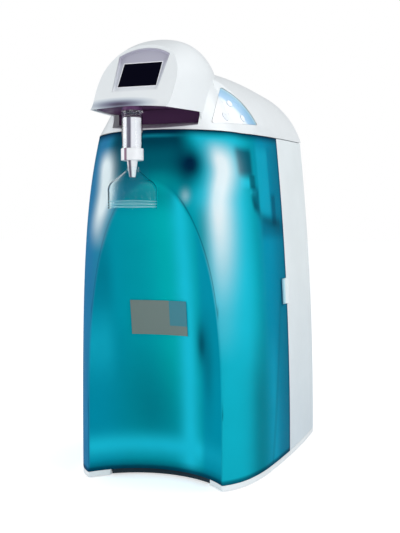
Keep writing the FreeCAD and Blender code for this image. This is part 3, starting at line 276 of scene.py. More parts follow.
def windowFilm():
    # white film with a sky-blue band along the arc, found from a centre below the window
    material = mouldedPlastic("windowFilm", (0.97, 0.98, 0.99), 0.3)
    nodes, links = parts(material)
    swing = math.radians(keypad["turn"])
    coords = nodes.new("ShaderNodeTexCoord")
    turn = nodes.new("ShaderNodeMapping")
    turn.inputs["Rotation"].default_value = (0, 0, -swing)
    links.new(coords.outputs["Object"], turn.inputs["Vector"])
    flat = nodes.new("ShaderNodeMapping")
    flat.inputs["Scale"].default_value = (1, 0, 1)
    reach = keypad["centre"][0] + middleY * math.sin(swing)
    flat.inputs["Location"].default_value = (-reach * mm, 0, -(keypad["level"] + keypad["centre"][1]) * mm)
    links.new(turn.outputs["Vector"], flat.inputs["Vector"])
    length = nodes.new("ShaderNodeVectorMath")
    length.operation = "LENGTH"
    links.new(flat.outputs["Vector"], length.inputs[0])
    fit = nodes.new("ShaderNodeMapRange")
    links.new(length.outputs["Value"], fit.inputs["Value"])
    fit.inputs["From Min"].default_value = (keypad["radius"] - keypad["band"]) * mm
    fit.inputs["From Max"].default_value = keypad["radius"] * mm
    return tintBy(material, fit.outputs["Result"], keypad["stops"])


# painted shade in the cove over the head's lip, darkest at its middle
paintedCoveShade = {
    "place": (-14, -66, 458), "reach": (50, 36, 9.5),
    "stops": ((0.0, (1.0, 1.0, 1.0)), (0.3, (0.70, 0.74, 0.80)), (0.55, (0.34, 0.36, 0.45)),
              (0.8, (0.12, 0.10, 0.18)), (1.0, (0.03, 0.016, 0.05))),
}


def shellPlastic():
    # the head's white, with painted shade gathered in the cove over its lip
    material = mouldedPlastic("headPlastic", (0.84, 0.87, 0.88), 0.34, coat=0.1)
    nodes, links = parts(material)
    return tintBy(material, spotOf(nodes, links, paintedCoveShade["place"], paintedCoveShade["reach"]), paintedCoveShade["stops"])


# The back shell is greyer towards its foot, which is painted shade; a latch's front end has the painted shade
# of its slot, and turns from bluish to white behind it;
# and the bezel's mauve, painted shade under the top of its recess, pales towards its foot. Each runs along one
# axis between two places in millimetres.
gradedShades = {
    "backPlastic": {"color": (0.84, 0.87, 0.88), "rough": 0.4, "run": ("Z", 20, 260),
                    "stops": ((0.0, (0.76, 0.82, 0.86)), (1.0, (0.97, 1.0, 1.0)))},
    "latchPlastic": {"color": (0.86, 0.92, 0.93), "rough": 0.3, "run": ("Y", 156 + middleY, 176 + middleY),
                     "stops": ((0.35, (0.0, 0.10, 0.22)), (0.45, (0.50, 0.82, 0.92)),
                               (0.75, (0.62, 0.88, 0.95)), (0.85, (1.0, 1.0, 1.0)))},
    "bezelPlastic": {"color": (0.98, 0.98, 0.98), "rough": 0.4, "run": ("Z", 474, 514),
                     "stops": ((0.0, (0.84, 0.86, 0.88)), (0.25, (0.66, 0.69, 0.74)),
                               (0.85, (0.58, 0.59, 0.66)), (1.0, (0.45, 0.44, 0.53)))},
}


def gradedPlastic(name):
    shade = gradedShades[name]
    material = mouldedPlastic(name, shade["color"], shade["rough"])
    nodes, links = parts(material)
    return tintBy(material, runOf(nodes, links, *shade["run"]), shade["stops"])


streakEdge = {"soft": 1.5, "outer": 0.4, "inner": 1.4}


def reflectionStreakPlastic(name, color, mirroredDark, low, high, rough=0.3):
    # pale moulding with a painted reflection: one upright dark streak between two places across it, where a
    # dark thing is mirrored
    material = mouldedPlastic(name, color, rough)
    nodes, links = parts(material)
    soft, plain = streakEdge["soft"], (1.0, 1.0, 1.0)
    edge = soft / (high - low + 2 * soft)
    outer, inner = edge * streakEdge["outer"], edge * streakEdge["inner"]
    stops = ((outer, plain), (inner, mirroredDark), (1 - inner, mirroredDark), (1 - outer, plain))
    return tintBy(material, runOf(nodes, links, "X", low - soft, high + soft), stops)


plateTones = {
    "left": (12.5, 13.5), "foot": (195, 197), "main": (0.15, 0.20, 0.185), "square": (0.05, 0.21, 0.26),
}


def platePaint():
    # two-tone plate: grey-green, with a bluer square at its upper right
    material = mouldedPlastic("platePaint", (0.98, 0.98, 0.98), 0.45, gloss=0.2)
    nodes, links = parts(material)
    square = nodes.new("ShaderNodeMath")
    square.operation = "MULTIPLY"
    links.new(runOf(nodes, links, "X", *plateTones["left"]), square.inputs[0])
    links.new(runOf(nodes, links, "Z", *plateTones["foot"]), square.inputs[1])
    return tintBy(material, square.outputs[0], ((0.2, plateTones["main"]), (0.8, plateTones["square"])))


finishes = {
    "white_plastic": mouldedPlastic("whitePlastic", (0.82, 0.85, 0.86), 0.34, coat=0.1),
    "teal_plastic": tealPlastic(),
    "dark_plastic": mouldedPlastic("darkPlastic", (0.09, 0.032, 0.10), 0.5, gloss=0.2),
    "rubber": mouldedPlastic("rubber", (0.03, 0.03, 0.03), 0.8),
    "grey_plastic": gradedPlastic("bezelPlastic"),
    "clear_plastic": clearPlastic("clearPlastic", (0.97, 0.99, 1.0), 0.02, 1.22),
    "panel": mouldedPlastic("panelPaint", (0.62, 0.68, 0.68), 0.5),
    "black_plastic": mouldedPlastic("blackPlastic", (0.02, 0.02, 0.023), 0.4),
    "plate": platePaint(),
    "window": windowFilm(),
    "key": mouldedPlastic("keyFilm", (0.88, 0.92, 0.97), 0.3),
    "display": mouldedPlastic("displayGlass", (0.0006, 0.0006, 0.006), 0.1, gloss=0.02),
    "membrane": reflectionStreakPlastic("membraneFelt", (0.95, 0.94, 0.97), (0.16, 0.14, 0.2), -2.2, 2.4, 0.7),
    "steel": mouldedPlastic("brushedSteel", (0.55, 0.56, 0.57), 0.35),
    "cartridge": mouldedPlastic("cartridgeShell", (0.70, 0.73, 0.75), 0.4),
    "hose": mouldedPlastic("hoseWall", (0.6, 0.64, 0.66), 0.4),
    "motor": mouldedPlastic("motorPaint", (0.03, 0.03, 0.035), 0.4),
    "board": mouldedPlastic("boardMask", (0.02, 0.16, 0.08), 0.4),
    "tank": mouldedPlastic("tankWall", (0.70, 0.73, 0.75), 0.4),
}
latchFinish = gradedPlastic("latchPlastic")
# nodes whose colour differs from the rest of their slot
ownFinishes = {
    "head_shell": shellPlastic(),
    "back_shell": gradedPlastic("backPlastic"),
    "latch_right": latchFinish,
    "latch_left": latchFinish,
    # the plinth strip's near-black is painted shade, for the shadow under the cover's foot
    "plinth_strip": mouldedPlastic("plinthPaintedShade", (0.012, 0.03, 0.045), 0.5, gloss=0.2),
    "dispense_bell": clearPlastic("bellPlastic", (0.94, 0.99, 1.0), 0.02, 1.09),
    "filter_ring": reflectionStreakPlastic("ringPlastic", (0.86, 0.87, 0.89), (0.22, 0.10, 0.17), -5.0, -1.6),
    "filter_nozzle": reflectionStreakPlastic("nozzlePlastic", (0.86, 0.88, 0.90), (0.10, 0.07, 0.12), -2.6, 0.6),
}
nodeSlots = {row["node"]: row["material_slot"] for row in frame["record"]["subparts"]}


def finishOf(node):
    return ownFinishes.get(node, finishes[nodeSlots[node]])


for node, piece in frame["nodes"].items():
    for materialSlot in piece.material_slots:
        materialSlot.material = finishOf(node)
print("finishes made")


def dress(piece, node):
    # the piece stands for a CAD node, moves with its body and takes its slot
    piece.data.materials.clear()
    piece.data.materials.append(finishOf(node))
    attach(piece, frame["nodes"][node]["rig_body"])
    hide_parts(node)


def addWall(piece, thickness, offset):
    wall = piece.modifiers.new("wall", "SOLIDIFY")
    wall.thickness = thickness * mm
    wall.offset = offset


def addBevel(piece, width, segments, angle):
    edge = piece.modifiers.new("edge", "BEVEL")
    edge.width = width * mm
    edge.segments = segments
    edge.limit_method = "ANGLE"
    edge.angle_limit = math.radians(angle)


skin = {"merge": 0.00001, "faceAngle": 1, "shapeAngle": 40, "segments": 3, "sharpAngle": 30}


def smoothCopy(node, bevel):
    # a CAD node's own shape with its seams merged, its edges softened and its faces smooth
    source = frame["nodes"][node]
    piece = source.copy()
    piece.data = source.data.copy()
    for key in list(piece.keys()):
        del piece[key]
    bpy.context.scene.collection.objects.link(piece)
    piece.parent = None
    piece.name = node + "Skin"
    editAll(piece)
    bpy.ops.mesh.remove_doubles(threshold=skin["merge"])
    bpy.ops.mesh.tris_convert_to_quads(face_threshold=math.radians(skin["faceAngle"]),
                                       shape_threshold=math.radians(skin["shapeAngle"]))
    bpy.ops.object.mode_set(mode="OBJECT")
    if bevel:
        addBevel(piece, bevel, skin["segments"], skin["sharpAngle"])
        applyAll(piece)
    pick(piece)
    bpy.ops.object.shade_smooth_by_angle(angle=math.radians(skin["sharpAngle"]))
    piece.modifiers.new("evenShading", "WEIGHTED_NORMAL").keep_sharp = True
    applyAll(piece)
    dress(piece, node)


# Front cover: one shell round the front and both sides, with the arched bay in it

coverShape = {
    "foot": 8.3, "parting": 434.5, "partingRise": 12.0, "partingBend": 59.85, "seam": 175.0, "depth": 315.0,
    "baseX": 142.0, "topX": 120.0, "wall": 3.0, "rows": 128, "columns": (120, 20, 12, 18),
    "bayShare": 0.7, "crowding": (1.6, 1.3), "ridgeFront": 0.3, "ridgeBack": 0.5, "ridgeRun": (0.2, 0.4),
    "softness": 1.6, "apexSoftness": 12, "apexRun": (335, 372),
    "notchFront": 157.0, "notchLow": 213.2, "notchHigh": 248.8, "notchMiddle": 166.0,
    "rim": 0.7, "rimSegments": 3, "sharpAngle": 50,
    "edgeSearch": (0.12, 0.995), "edgeSteps": 14, "sideSteps": 30, "heightSteps": 3,
}
# plan outline of the body at its base and at its parting line: ridge, cheek, flank, back
planShares = {
    "baseX": (0.623, 0.799, 0.887, 1.0), "baseY": (0.0, 0.119, 0.292, 1.0),
    "baseBulge": (0.0791, 0.0658, 0.0245, 0.0145),
    "topX": (0.517, 0.792, 0.871, 1.0), "topY": (0.0254, 0.178, 0.308, 1.0),
    "topBulge": (0.164, 0.0846, 0.02, 0.0165),
    "power": (6, 3, 2, 2),
}
bayShape = {
    "height": 374.0, "footDepth": 40.0, "apexReach": 13.0, "footRadius": 118.0, "apexRadius": 205.0,
    "sweep": 2.15, "widest": 0.999,
}


def blendOf(start, end, share):
    return start + (end - start) * share


def planShare(name, index, turned):
    return blendOf(planShares["base" + name][index], planShares["top" + name][index], turned)


def planPoint(index, level):
    turned = level ** planShares["power"][index]
    x = blendOf(planShares["baseX"][index] * coverShape["baseX"],
                planShares["topX"][index] * coverShape["topX"], turned)
    return Vector((x, planShare("Y", index, turned) * coverShape["depth"]))


def planBulge(index, level):
    return planShare("Bulge", index, level ** planShares["power"][index])


def arcPoint(start, end, bulge, share):
    # point along the arc from start to end, which bulges to the right of its chord
    chord = end - start
    rise = chord.length * bulge
    half = chord.length / 2
    radius = (half * half + rise * rise) / (2 * rise)
    side = Vector((chord.y, -chord.x)).normalized()
    centre = (start + end) / 2 + side * (rise - radius)
    turn = math.asin(half / radius) * (2 * share - 1)
    along = chord.normalized()
    return centre + side * (radius * math.cos(turn)) + along * (radius * math.sin(turn))


def bayDepth(x, z):
    # depth of the bay's round back wall at a place, or None beside it
    level = z / bayShape["height"]
    radius = blendOf(bayShape["footRadius"], bayShape["apexRadius"], level ** 2)
    fall = bayShape["footDepth"] + bayShape["apexReach"]
    deepest = bayShape["footDepth"] - fall * level ** bayShape["sweep"]
    if abs(x) >= radius * bayShape["widest"]:
        return None
    return deepest - radius + math.sqrt(radius * radius - x * x)


def smoothStep(value, low, high):
    share = min(1.0, max(0.0, (value - low) / (high - low)))
    return share * share * (3 - 2 * share)


def boxHump(value, low, high, soft):
    return smoothStep(value, low - soft, low + soft) * (1 - smoothStep(value, high - soft, high + soft))


def hump(value, middle, width):
    return math.exp(-((value - middle) / width) ** 2)


def frontDepth(x, z):
    # depth of the front's own arc at a place, as if there were no bay
    level = z / coverShape["parting"]
    ridge = planPoint(0, level)
    rise = 2 * ridge.x * planBulge(0, level)
    radius = (ridge.x ** 2 + rise ** 2) / (2 * rise)
    return ridge.y - rise + radius - math.sqrt(max(0.0, radius ** 2 - x ** 2))


def softerOf(a, b, softness):
    # the deeper of two depths, rounded where they cross
    near = max(softness - abs(a - b), 0.0) / softness
    return max(a, b) + near * near * softness / 4


def partingAt(y):
    run = coverShape["depth"] - coverShape["partingBend"]
    return coverShape["parting"] + coverShape["partingRise"] * max(0.0, (y - coverShape["partingBend"]) / run)


def ridgePlace(column, z):
    # plan outline with the ridge rounded more and more towards the top
    sharpTo, run = coverShape["ridgeRun"]
    softening = min(1.0, max(0.0, (z / coverShape["parting"] - sharpTo) / run))
    before, after = coverShape["ridgeFront"] * softening, coverShape["ridgeBack"] * softening
    if softening and 1 - before < column < 1 + after:
        start, corner, end = (sharpPlace(place, z) for place in (1 - before, 1, 1 + after))
        share = (column - 1 + before) / (before + after)
        return start * (1 - share) ** 2 + corner * (2 * share * (1 - share)) + end * share ** 2
    return sharpPlace(column, z)


def sharpPlace(column, z):
    # outline point at a height: column runs 0 at the middle, 1 at the ridge, 2 at the cheek, 3 at the flank
    level = z / coverShape["parting"]
    if column <= 1:
        ridge = planPoint(0, level)
        return arcPoint(Vector((-ridge.x, ridge.y)), ridge, planBulge(0, level), 0.5 + column / 2)
    index = int(math.ceil(column)) - 1
    start, end = planPoint(index - 1, level), planPoint(index, level)
    return arcPoint(start, end, planBulge(index, level), column - index)


def bayEdge(z):
    # column at which the bay meets the front at a height
    low, high = coverShape["edgeSearch"]
    for _ in range(coverShape["edgeSteps"]):
        column = (low + high) / 2
        place = ridgePlace(column, z)
        depth = bayDepth(place.x, z)
        if depth is not None and depth > place.y:
            low = column
        else:
            high = column
    return high


def frontColumn(column, z):
    # columns in front crowd towards the edge of the bay
    edge = bayEdge(z)
    share = coverShape["bayShare"]
    within, beside = coverShape["crowding"]
    if column < share:
        return edge * (1 - (1 - column / share) ** within)
    return edge + (1 - edge) * ((column - share) / (1 - share)) ** beside


def sidePlace(y, z):
    # the long side arc, found by its depth
    level = z / coverShape["parting"]
    flank, back, bulge = planPoint(2, level), planPoint(3, level), planBulge(3, level)
    low, high = 0.0, 1.0
    for _ in range(coverShape["sideSteps"]):
        share = (low + high) / 2
        if arcPoint(flank, back, bulge, share).y < y:
            low = share
        else:
            high = share
    return arcPoint(flank, back, bulge, high)


def coverColumns():
    front, cheek, flank, side = coverShape["columns"]
    half = [share / (front / 2) for share in range(front // 2 + 1)]
    for start, count in ((1, cheek), (2, flank), (3, side)):
        half += [start + (share + 1) / count for share in range(count)]
    return [-column for column in reversed(half[1:])] + half


def coverPoint(column, share):
    side = 1 if column >= 0 else -1
    column = abs(column)
    place = Vector((0, 0))
    top = coverShape["parting"]
    # the parting line rises with depth, so the height is found in a few rounds
    for _ in range(coverShape["heightSteps"]):
        z = blendOf(coverShape["foot"], top, share)
        if column <= 1:
            place = ridgePlace(frontColumn(column, z), z)
        elif column <= 3:
            place = ridgePlace(column, z)
        else:
            flankY = planPoint(2, z / coverShape["parting"]).y
            place = sidePlace(blendOf(flankY, coverShape["seam"], column - 3), z)
        depth = bayDepth(place.x, z)
        softness = coverShape["softness"] + coverShape["apexSoftness"] * smoothStep(z, *coverShape["apexRun"])
        y = place.y if depth is None else softerOf(place.y, depth, softness)
        top = partingAt(y)
    return at(side * place.x, y, z)


def rowShares():
    # rows land on the latch notch's edges
    rows = coverShape["rows"]
    middleTop = partingAt(coverShape["notchMiddle"])
    run = middleTop - coverShape["foot"]
    low = (coverShape["notchLow"] - coverShape["foot"]) / run
    high = (coverShape["notchHigh"] - coverShape["foot"]) / run
    counts = (round(rows * low), round(rows * (high - low)), round(rows * (1 - high)))
    shares = [low * i / counts[0] for i in range(counts[0])]
    shares += [blendOf(low, high, i / counts[1]) for i in range(counts[1])]
    shares += [blendOf(high, 1, i / counts[2]) for i in range(counts[2] + 1)]
    return shares


def makeCover():
    columns, shares = coverColumns(), rowShares()
    bpy.ops.mesh.primitive_grid_add(x_subdivisions=len(columns) - 1, y_subdivisions=len(shares) - 1)
    cover = bpy.context.object
    cover.name = "coverShell"
    points = [coverPoint(column, share) for share in shares for column in columns]
    for vertex, place in zip(cover.data.vertices, points):
        vertex.co = place
    notch = []
    for face in cover.data.polygons:
        y, z = face.center.y / mm - middleY, face.center.z / mm
        notch.append(y > coverShape["notchFront"] and coverShape["notchLow"] < z < coverShape["notchHigh"])
    pick(cover)
    bpy.ops.object.mode_set(mode="EDIT")
    bpy.ops.mesh.select_mode(type="FACE")
    bpy.ops.mesh.select_all(action="DESELECT")
    bpy.ops.object.mode_set(mode="OBJECT")
    for face, isNotch in zip(cover.data.polygons, notch):
        face.select = isNotch
    bpy.ops.object.mode_set(mode="EDIT")
    bpy.ops.mesh.delete(type="FACE")
    bpy.ops.object.mode_set(mode="OBJECT")
    addWall(cover, coverShape["wall"], -1)
    addBevel(cover, coverShape["rim"], coverShape["rimSegments"], coverShape["sharpAngle"])
    applyAll(cover)
    shadeWall(cover)
    bpy.ops.object.shade_smooth_by_angle(angle=math.radians(coverShape["sharpAngle"]))
    dress(cover, "front_cover")


def layered(color, layers):
    # lays tints over a colour one after another, each with its own strength, by place in millimetres
    for tint, amount in layers:
        share = min(1.0, max(0.0, amount))
        color = tuple(blendOf(a, b, share) for a, b in zip(color, frostedTeal[tint]))
    return color


def bayTintAndLight(x, z):
    # inside the bay, painted light and shade: green towards the right of the middle, a painted highlight in a
    # bright upright strip beyond it, painted shade in bands at the sides and at the very foot, and painted
    # light just above the foot
    return layered(frostedTeal["teal"], (
        ("blue", 0.5 * smoothStep(-x, 25, 80)),
        ("dark", 0.35 * smoothStep(-x, 50, 66) * hump(z, 258, 62)),
        ("cyan", 0.4 * smoothStep(-x, 50, 70) * hump(z, 170, 40)),
        ("green", 0.6 * hump(x, 18, 28) * smoothStep(z, 40, 170)),
        ("dark", 0.4 * hump(x, -14, 36) * hump(z, 96, 60)),
        ("cyan", hump(x, 37, 13) * (1 - 0.25 * smoothStep(z, 170, 340))),
        ("blue", 0.45 * smoothStep(x, 52, 62)),
        ("navy", 0.75 * hump(x, 57, 7) * hump(z, 176, 24)),
        ("dark", 0.45 * hump(x, 66, 8) * hump(z, 150, 50)),
        ("cyan", 0.95 * hump(z, 40, 14) * (1 - 0.7 * smoothStep(x, 48, 62))),
        ("dark", 0.6 * smoothStep(-z, -24, -12)),
    ))


def insideLightAndShade(color, y, z):
    # painted shadows, with a few painted bright edges, for what shows dimly through the right flank: a bottle's
    # cap and shoulder, a bracket, a strap
    shoulder = 322 + 38 * math.exp(-max(0.0, y - 62) / 26)
    strap = 150 - 0.2 * (240 - z)
    return layered(color, (
        ("navy", 0.75 * boxHump(y, 38, 74, 6) * boxHump(z, 382, 416, 6)),
        ("cyan", 0.75 * boxHump(y, 40, 64, 2) * boxHump(z, 368, 378, 2)),
        ("dark", 0.8 * boxHump(y, 64, 80, 3) * boxHump(z, 366, 384, 2)),
        ("cyan", 0.6 * boxHump(y, 62, 80, 2) * boxHump(z, 359, 365, 2)),
        ("dark", 0.6 * hump(z, shoulder, 8) * boxHump(y, 64, 160, 4)),
        ("navy", 0.45 * boxHump(y, 132, 148, 3) * boxHump(z, 322, 362, 4)),
        ("navy", 0.55 * boxHump(y, 68, 88, 5) * boxHump(z, 340, 368, 6)),
        ("navy", 0.35 * smoothStep(y, 80, 100) * boxHump(z, 306, 330, 8)),
        ("cyan", 0.35 * boxHump(y, 90, 128, 4) * boxHump(z, 334, 420, 8)),
        ("dark", 0.35 * hump(y, strap, 4) * smoothStep(-z, -250, -215)),
    ))


def rightLightAndShade(color, x, y, z, ridge):
    # right flank, painted light and shade: bright by the ridge and deeper behind, with a painted highlight in a
    # pale band down the ridge
    reach = x - ridge + 0.5 * y
    near = smoothStep(reach, -24, -4) * (1 - smoothStep(y, 30, 84))
    low = smoothStep(-z, -210, -90)
    color = layered(color, (
        ("cyan", near * (0.8 - 0.35 * low)),
        ("blue", 0.8 * smoothStep(y, 60, 110)),
        ("dark", 0.5 * low * hump(y, 64, 26)),
        ("cyan", 0.2 * low * hump(y, 112, 16)),
        ("navy", 0.35 * smoothStep(y, 105, 170)),
    ))
    lit = (0.08 * smoothStep(z, 150, 220) + 1.05 * smoothStep(z, 205, 362)) * (1 - smoothStep(z, 396, 428))
    crest = 1 + 15 * smoothStep(z, 345, 392)
    band = lit * hump(reach, crest, 13 if reach < crest else 20)
    return layered(insideLightAndShade(color, y, z), [("pale", band)])


def leftPaintedShade(color, y, z):
    # left flank, painted shade: blue by the ridge, deeper behind
    return layered(color, (
        ("dark", 0.4 * hump(z, 238, 50)),
        ("steel", 0.9 * hump(y, 14, 26)),
        ("navy", 0.5 * smoothStep(y, 14, 34) * (1 - smoothStep(y, 50, 90))),
    ))


def roundLightAndShade(x, y, z):
    # round the bay, painted light and shade: the two flanks, and painted shade dark across the top, with
    # painted dark and bright spots and a small painted highlight near the top
    ridge = planPoint(0, z / coverShape["parting"]).x
    color = layered(frostedTeal["teal"], [("blue", 0.8 * smoothStep(-x, 74, 92))])
    color = rightLightAndShade(color, x, y, z, ridge) if x > 0 else leftPaintedShade(color, y, z)
    top = (1 - smoothStep(abs(x + 4), ridge - 30, ridge - 10)) * smoothStep(z, 345, 395)
    return layered(color, (
        ("dark", 0.9 * top),
        ("navy", 0.55 * top * smoothStep(z, 402, 424)),
        ("navy", 1.1 * hump(x, 50, 15) * hump(z, 393, 20)),
        ("green", 0.3 * hump(x, 14, 22) * hump(z, 372, 14)),
        ("cyan", 0.6 * hump(x, 64, 12) * hump(z, 354, 18)),
        ("pale", 0.3 * hump(x, 45, 5) * hump(z, 356, 7)),
    ))


def wallTintAndLight(x, y, z):
    # painted light and shade over the teal: round the bay and inside it, then painted shade in a line along the
    # bay's rim, the left pale band of painted highlight, painted shade in the latch notch, a painted highlight
    # just under the top, and painted shade along the wall's edges
    color = roundLightAndShade(x, y, z)
    depth = bayDepth(x, z)
    inside = 0.0
    if depth is not None and abs(x) < planPoint(0, z / coverShape["parting"]).x:
        beyond = depth - frontDepth(x, z)
        inside = smoothStep(beyond, 0.3, 3)
        color = tuple(blendOf(a, b, inside) for a, b in zip(color, bayTintAndLight(x, z)))
        rim = hump(beyond, 0.35, 0.45) * (1 - smoothStep(z, 345, 366))
        color = layered(color, [("navy", (0.6 if x > 0 else 0.35) * rim)])
    lit = smoothStep(z, 284, 362) * (1 - smoothStep(z, 390, 420)) * (1 - 0.9 * inside)
    band = -60 - 14 * smoothStep(-z, -372, -308)
    below = partingAt(y) - z
    return layered(color, (
        ("dark", 0.4 * hump(z, 356, 16) * (1 - smoothStep(abs(x + 6), 30, 44))),
        ("pale", 1.35 * lit * hump(x, band, 11)),
        ("navy", 0.85 * boxHump(y, 149, 157, 2) * boxHump(z, 213, 249, 2) * (x > 0)),
        ("cyan", 0.5 * hump(below, 6.5, 1.6) * hump(x, 8, 30)),
        ("navy", 0.5 * (1 - smoothStep(below, 4, 9))),
        ("navy", 1 - smoothStep(below, 1.5, 4)),
        ("navy", 0.8 * (1 - smoothStep(coverShape["seam"] - y, 1, 7))),
        ("navy", 0.8 * (1 - smoothStep(z - coverShape["foot"], 2, 7))),
    ))


def shadeWall(cover):
    # each point keeps the teal with its painted light and shade
    tint = cover.data.attributes.new("wallTintAndLight", "FLOAT_COLOR", "POINT")
    for vertex, value in zip(cover.data.vertices, tint.data):
        x, y, z = (side / mm for side in vertex.co)
        value.color = (*wallTintAndLight(x, y - middleY, z), 1)


makeCover()
print("cover shaped")

skinBevels = {
    "back_shell": 0.8, "dome_housing": 0.5, "head_shell": 0.8, "base_tray": 0.5, "fill_lid": 0.3,
    "keypad_window": 0.2, "display_bezel": 0.4, "dispense_bell": 0.0, "final_filter": 0.0, "filter_ring": 0.5,
    "filter_nozzle": 0.0, "outlet_port": 0.3, "latch_right": 0.4, "latch_left": 0.4, "name_plate": 0.2,
}
for node, bevel in skinBevels.items():
    smoothCopy(node, bevel)
print("skins made")


# Thin bright rim round the display, and the moulded rings on the bell, whose pale teal is painted light

displayRim = {
    "halfWidth": 23.9, "foot": 20.3, "length": 36.8, "width": 1.0, "height": 0.7, "depth": 3.0, "tilt": 34.0,
    "faceY": -62.0, "faceZ": 465.0, "edge": 0.2, "segments": 2, "edgeAngle": 30,
}


def makeDisplayRim():
    rim = displayRim
    halfLength = rim["length"] / 2
    bpy.ops.mesh.primitive_plane_add(size=1)
    frameRim = bpy.context.object
    frameRim.name = "displayRim"
    outer = rim["halfWidth"] + rim["width"]
    for vertex in frameRim.data.vertices:
        vertex.co.x = math.copysign(outer, vertex.co.x) * mm
        vertex.co.y = math.copysign(halfLength + rim["width"], vertex.co.y) * mm
    editAll(frameRim)
    bpy.ops.mesh.inset(thickness=rim["width"] * mm, use_boundary=True)
    bpy.ops.mesh.delete(type="FACE")
    bpy.ops.object.mode_set(mode="OBJECT")
    addWall(frameRim, rim["height"], 1)
    addBevel(frameRim, rim["edge"], rim["segments"], rim["edgeAngle"])
    applyAll(frameRim)
    tilt = math.radians(rim["tilt"])
    for vertex in frameRim.data.vertices:
        along = rim["foot"] + halfLength + vertex.co.y / mm
        inward = rim["depth"] - vertex.co.z / mm
        y = rim["faceY"] + along * math.sin(tilt) + inward * math.cos(tilt)
        z = rim["faceZ"] + along * math.cos(tilt) - inward * math.sin(tilt)
        vertex.co = at(vertex.co.x / mm, y, z)
    editAll(frameRim)
    bpy.ops.mesh.normals_make_consistent(inside=False)
    bpy.ops.object.mode_set(mode="OBJECT")
    frameRim.data.materials.append(mouldedPlastic("rimPlastic", (0.88, 0.88, 0.92), 0.3))
    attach(frameRim, frame["nodes"]["display_bezel"]["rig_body"])


bellRings = {"y": -62.0, "radius": 26.5, "lifts": (2.2, 5.2, 8.2), "thickness": 0.3, "segments": (72, 6)}


def makeBellRings():
    bell = frame["nodes"]["dispense_bell"]
    bottom = min((bell.matrix_world @ Vector(corner)).z for corner in bell.bound_box) / mm
    around, across = bellRings["segments"]
    rings = []
    for lift in bellRings["lifts"]:
        bpy.ops.mesh.primitive_torus_add(location=at(0, bellRings["y"], bottom + lift), major_segments=around,
                                         minor_segments=across, major_radius=bellRings["radius"] * mm,
                                         minor_radius=bellRings["thickness"] * mm)
        rings.append(bpy.context.object)
    pick(rings[0])
    for ring in rings:
        ring.select_set(True)
    bpy.ops.object.join()
    joined = rings[0]
    joined.name = "bellRings"
    bpy.ops.object.transform_apply(location=True, rotation=True, scale=True)
    bpy.ops.object.shade_smooth()
    # the rings' opaque pale teal is painted light, for what the clear grooves catch
    joined.data.materials.append(mouldedPlastic("ringGlintPlastic", (0.30, 0.66, 0.72), 0.12, gloss=0.8))
    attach(joined, frame["nodes"]["dispense_bell"]["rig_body"])


makeDisplayRim()
makeBellRings()
print("rims made")


# Studio

objectMiddle = at(0, 120, 250)
lightBoxes = {
    "leftBox": {"place": (-1.5, -0.75, 0.45), "aim": objectMiddle, "size": (0.7, 1.1), "power": 12},
    "rightBox": {"place": (1.5, -0.8, 0.6), "aim": objectMiddle, "size": (0.35, 1.2), "power": 6},
    "frontBox": {"place": (0.9, -1.5, 0.2), "aim": at(0, 0, 440), "size": (0.8, 0.6), "power": 5},
    "topBox": {"place": (0.9, 0.2, 1.5), "aim": objectMiddle, "size": (0.8, 0.8), "power": 5},
}
darkCards = {
    "darkLeft": {"place": (-1.4, 1.6, 0.5), "turn": 40},
    "darkRight": {"place": (1.5, 1.4, 0.5), "turn": -50},
}
cardCloth = {"size": (1.5, 1.6, 1), "scale": 5, "low": (0.01, 0.012, 0.02), "high": (0.014, 0.016, 0.026)}
surround = {"glow": (0.94, 0.97, 1.0, 1), "strength": 0.6, "backdrop": (1, 1, 1, 1), "backdropStrength": 1.0}
paleFloor = {"size": 30, "color": (0.9, 0.91, 0.92, 1), "rough": 0.9, "glow": (0.5, 0.5, 0.5, 1)}


def addLight(name, box):
    place = Vector(box["place"])
    bpy.ops.object.light_add(type="AREA", location=place)
    light = bpy.context.object
    light.name = name
    light.data.shape = "RECTANGLE"
    light.data.size, light.data.size_y = box["size"]
    light.data.energy = box["power"]
    light.rotation_euler = (box["aim"] - place).to_track_quat("-Z", "Y").to_euler()


def addDarkCard(name, place, turn):
    # dark board behind and beside the object, seen only in reflections and through clear walls
    upright = math.radians(90)
    bpy.ops.mesh.primitive_plane_add(size=1, location=place, rotation=(upright, 0, math.radians(turn)))
    card = bpy.context.object
    card.name = name
    card.scale = cardCloth["size"]
    material, nodes, links, shader = newMaterial(name + "Cloth")
    weave = noiseOf(nodes, links, cardCloth["scale"])
    shade = rampOf(nodes, links, weave, ((0.3, cardCloth["low"]), (0.7, cardCloth["high"])))
    links.new(shade, shader.inputs["Base Color"])
    shader.inputs["Roughness"].default_value = 1.0
    card.data.materials.append(material)
    card.visible_camera = card.visible_diffuse = card.visible_shadow = False


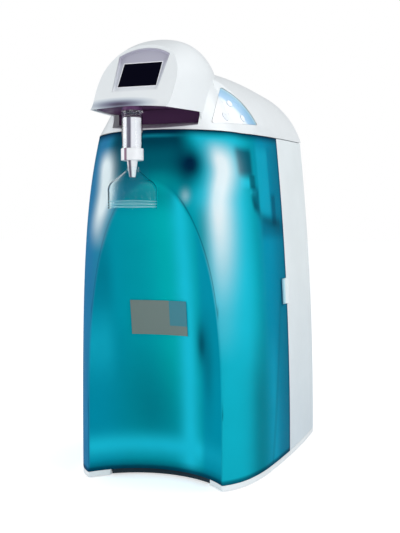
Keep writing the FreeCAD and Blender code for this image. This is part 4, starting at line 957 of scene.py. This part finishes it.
def lightWorld():
    # pale light all round, and a white backdrop for the camera and through clear walls
    world = bpy.context.scene.world or bpy.data.worlds.new("world")
    bpy.context.scene.world = world
    world.use_nodes = True
    nodes, links = world.node_tree.nodes, world.node_tree.links
    back = nodes["Background"]
    back.inputs["Color"].default_value = surround["glow"]
    back.inputs["Strength"].default_value = surround["strength"]
    white = nodes.new("ShaderNodeBackground")
    white.inputs["Color"].default_value = surround["backdrop"]
    white.inputs["Strength"].default_value = surround["backdropStrength"]
    path = nodes.new("ShaderNodeLightPath")
    mix = nodes.new("ShaderNodeMixShader")
    most = nodes.new("ShaderNodeMath")
    most.operation = "MAXIMUM"
    links.new(path.outputs["Is Camera Ray"], most.inputs[0])
    links.new(path.outputs["Is Transmission Ray"], most.inputs[1])
    links.new(most.outputs[0], mix.inputs["Fac"])
    links.new(back.outputs[0], mix.inputs[1])
    links.new(white.outputs[0], mix.inputs[2])
    links.new(mix.outputs[0], nodes["World Output"].inputs["Surface"])


def studio():
    lightWorld()
    for name, box in lightBoxes.items():
        addLight(name, box)
    for name, card in darkCards.items():
        addDarkCard(name, Vector(card["place"]), card["turn"])


def layFloor():
    # pale floor that glows a little for the camera only
    bpy.ops.mesh.primitive_plane_add(size=paleFloor["size"], location=(0, 0, 0))
    floor = bpy.context.object
    floor.name = "floor"
    material, nodes, links, shader = newMaterial("paleFloor")
    shader.inputs["Base Color"].default_value = paleFloor["color"]
    shader.inputs["Roughness"].default_value = paleFloor["rough"]
    glow = nodes.new("ShaderNodeEmission")
    glow.inputs["Color"].default_value = paleFloor["glow"]
    path = nodes.new("ShaderNodeLightPath")
    links.new(path.outputs["Is Camera Ray"], glow.inputs["Strength"])
    add = nodes.new("ShaderNodeAddShader")
    links.new(shader.outputs[0], add.inputs[0])
    links.new(glow.outputs[0], add.inputs[1])
    links.new(add.outputs[0], nodes["Material Output"].inputs["Surface"])
    floor.data.materials.append(material)


studio()
layFloor()
bpy.context.scene.view_settings.view_transform = "Standard"
print("studio lit")
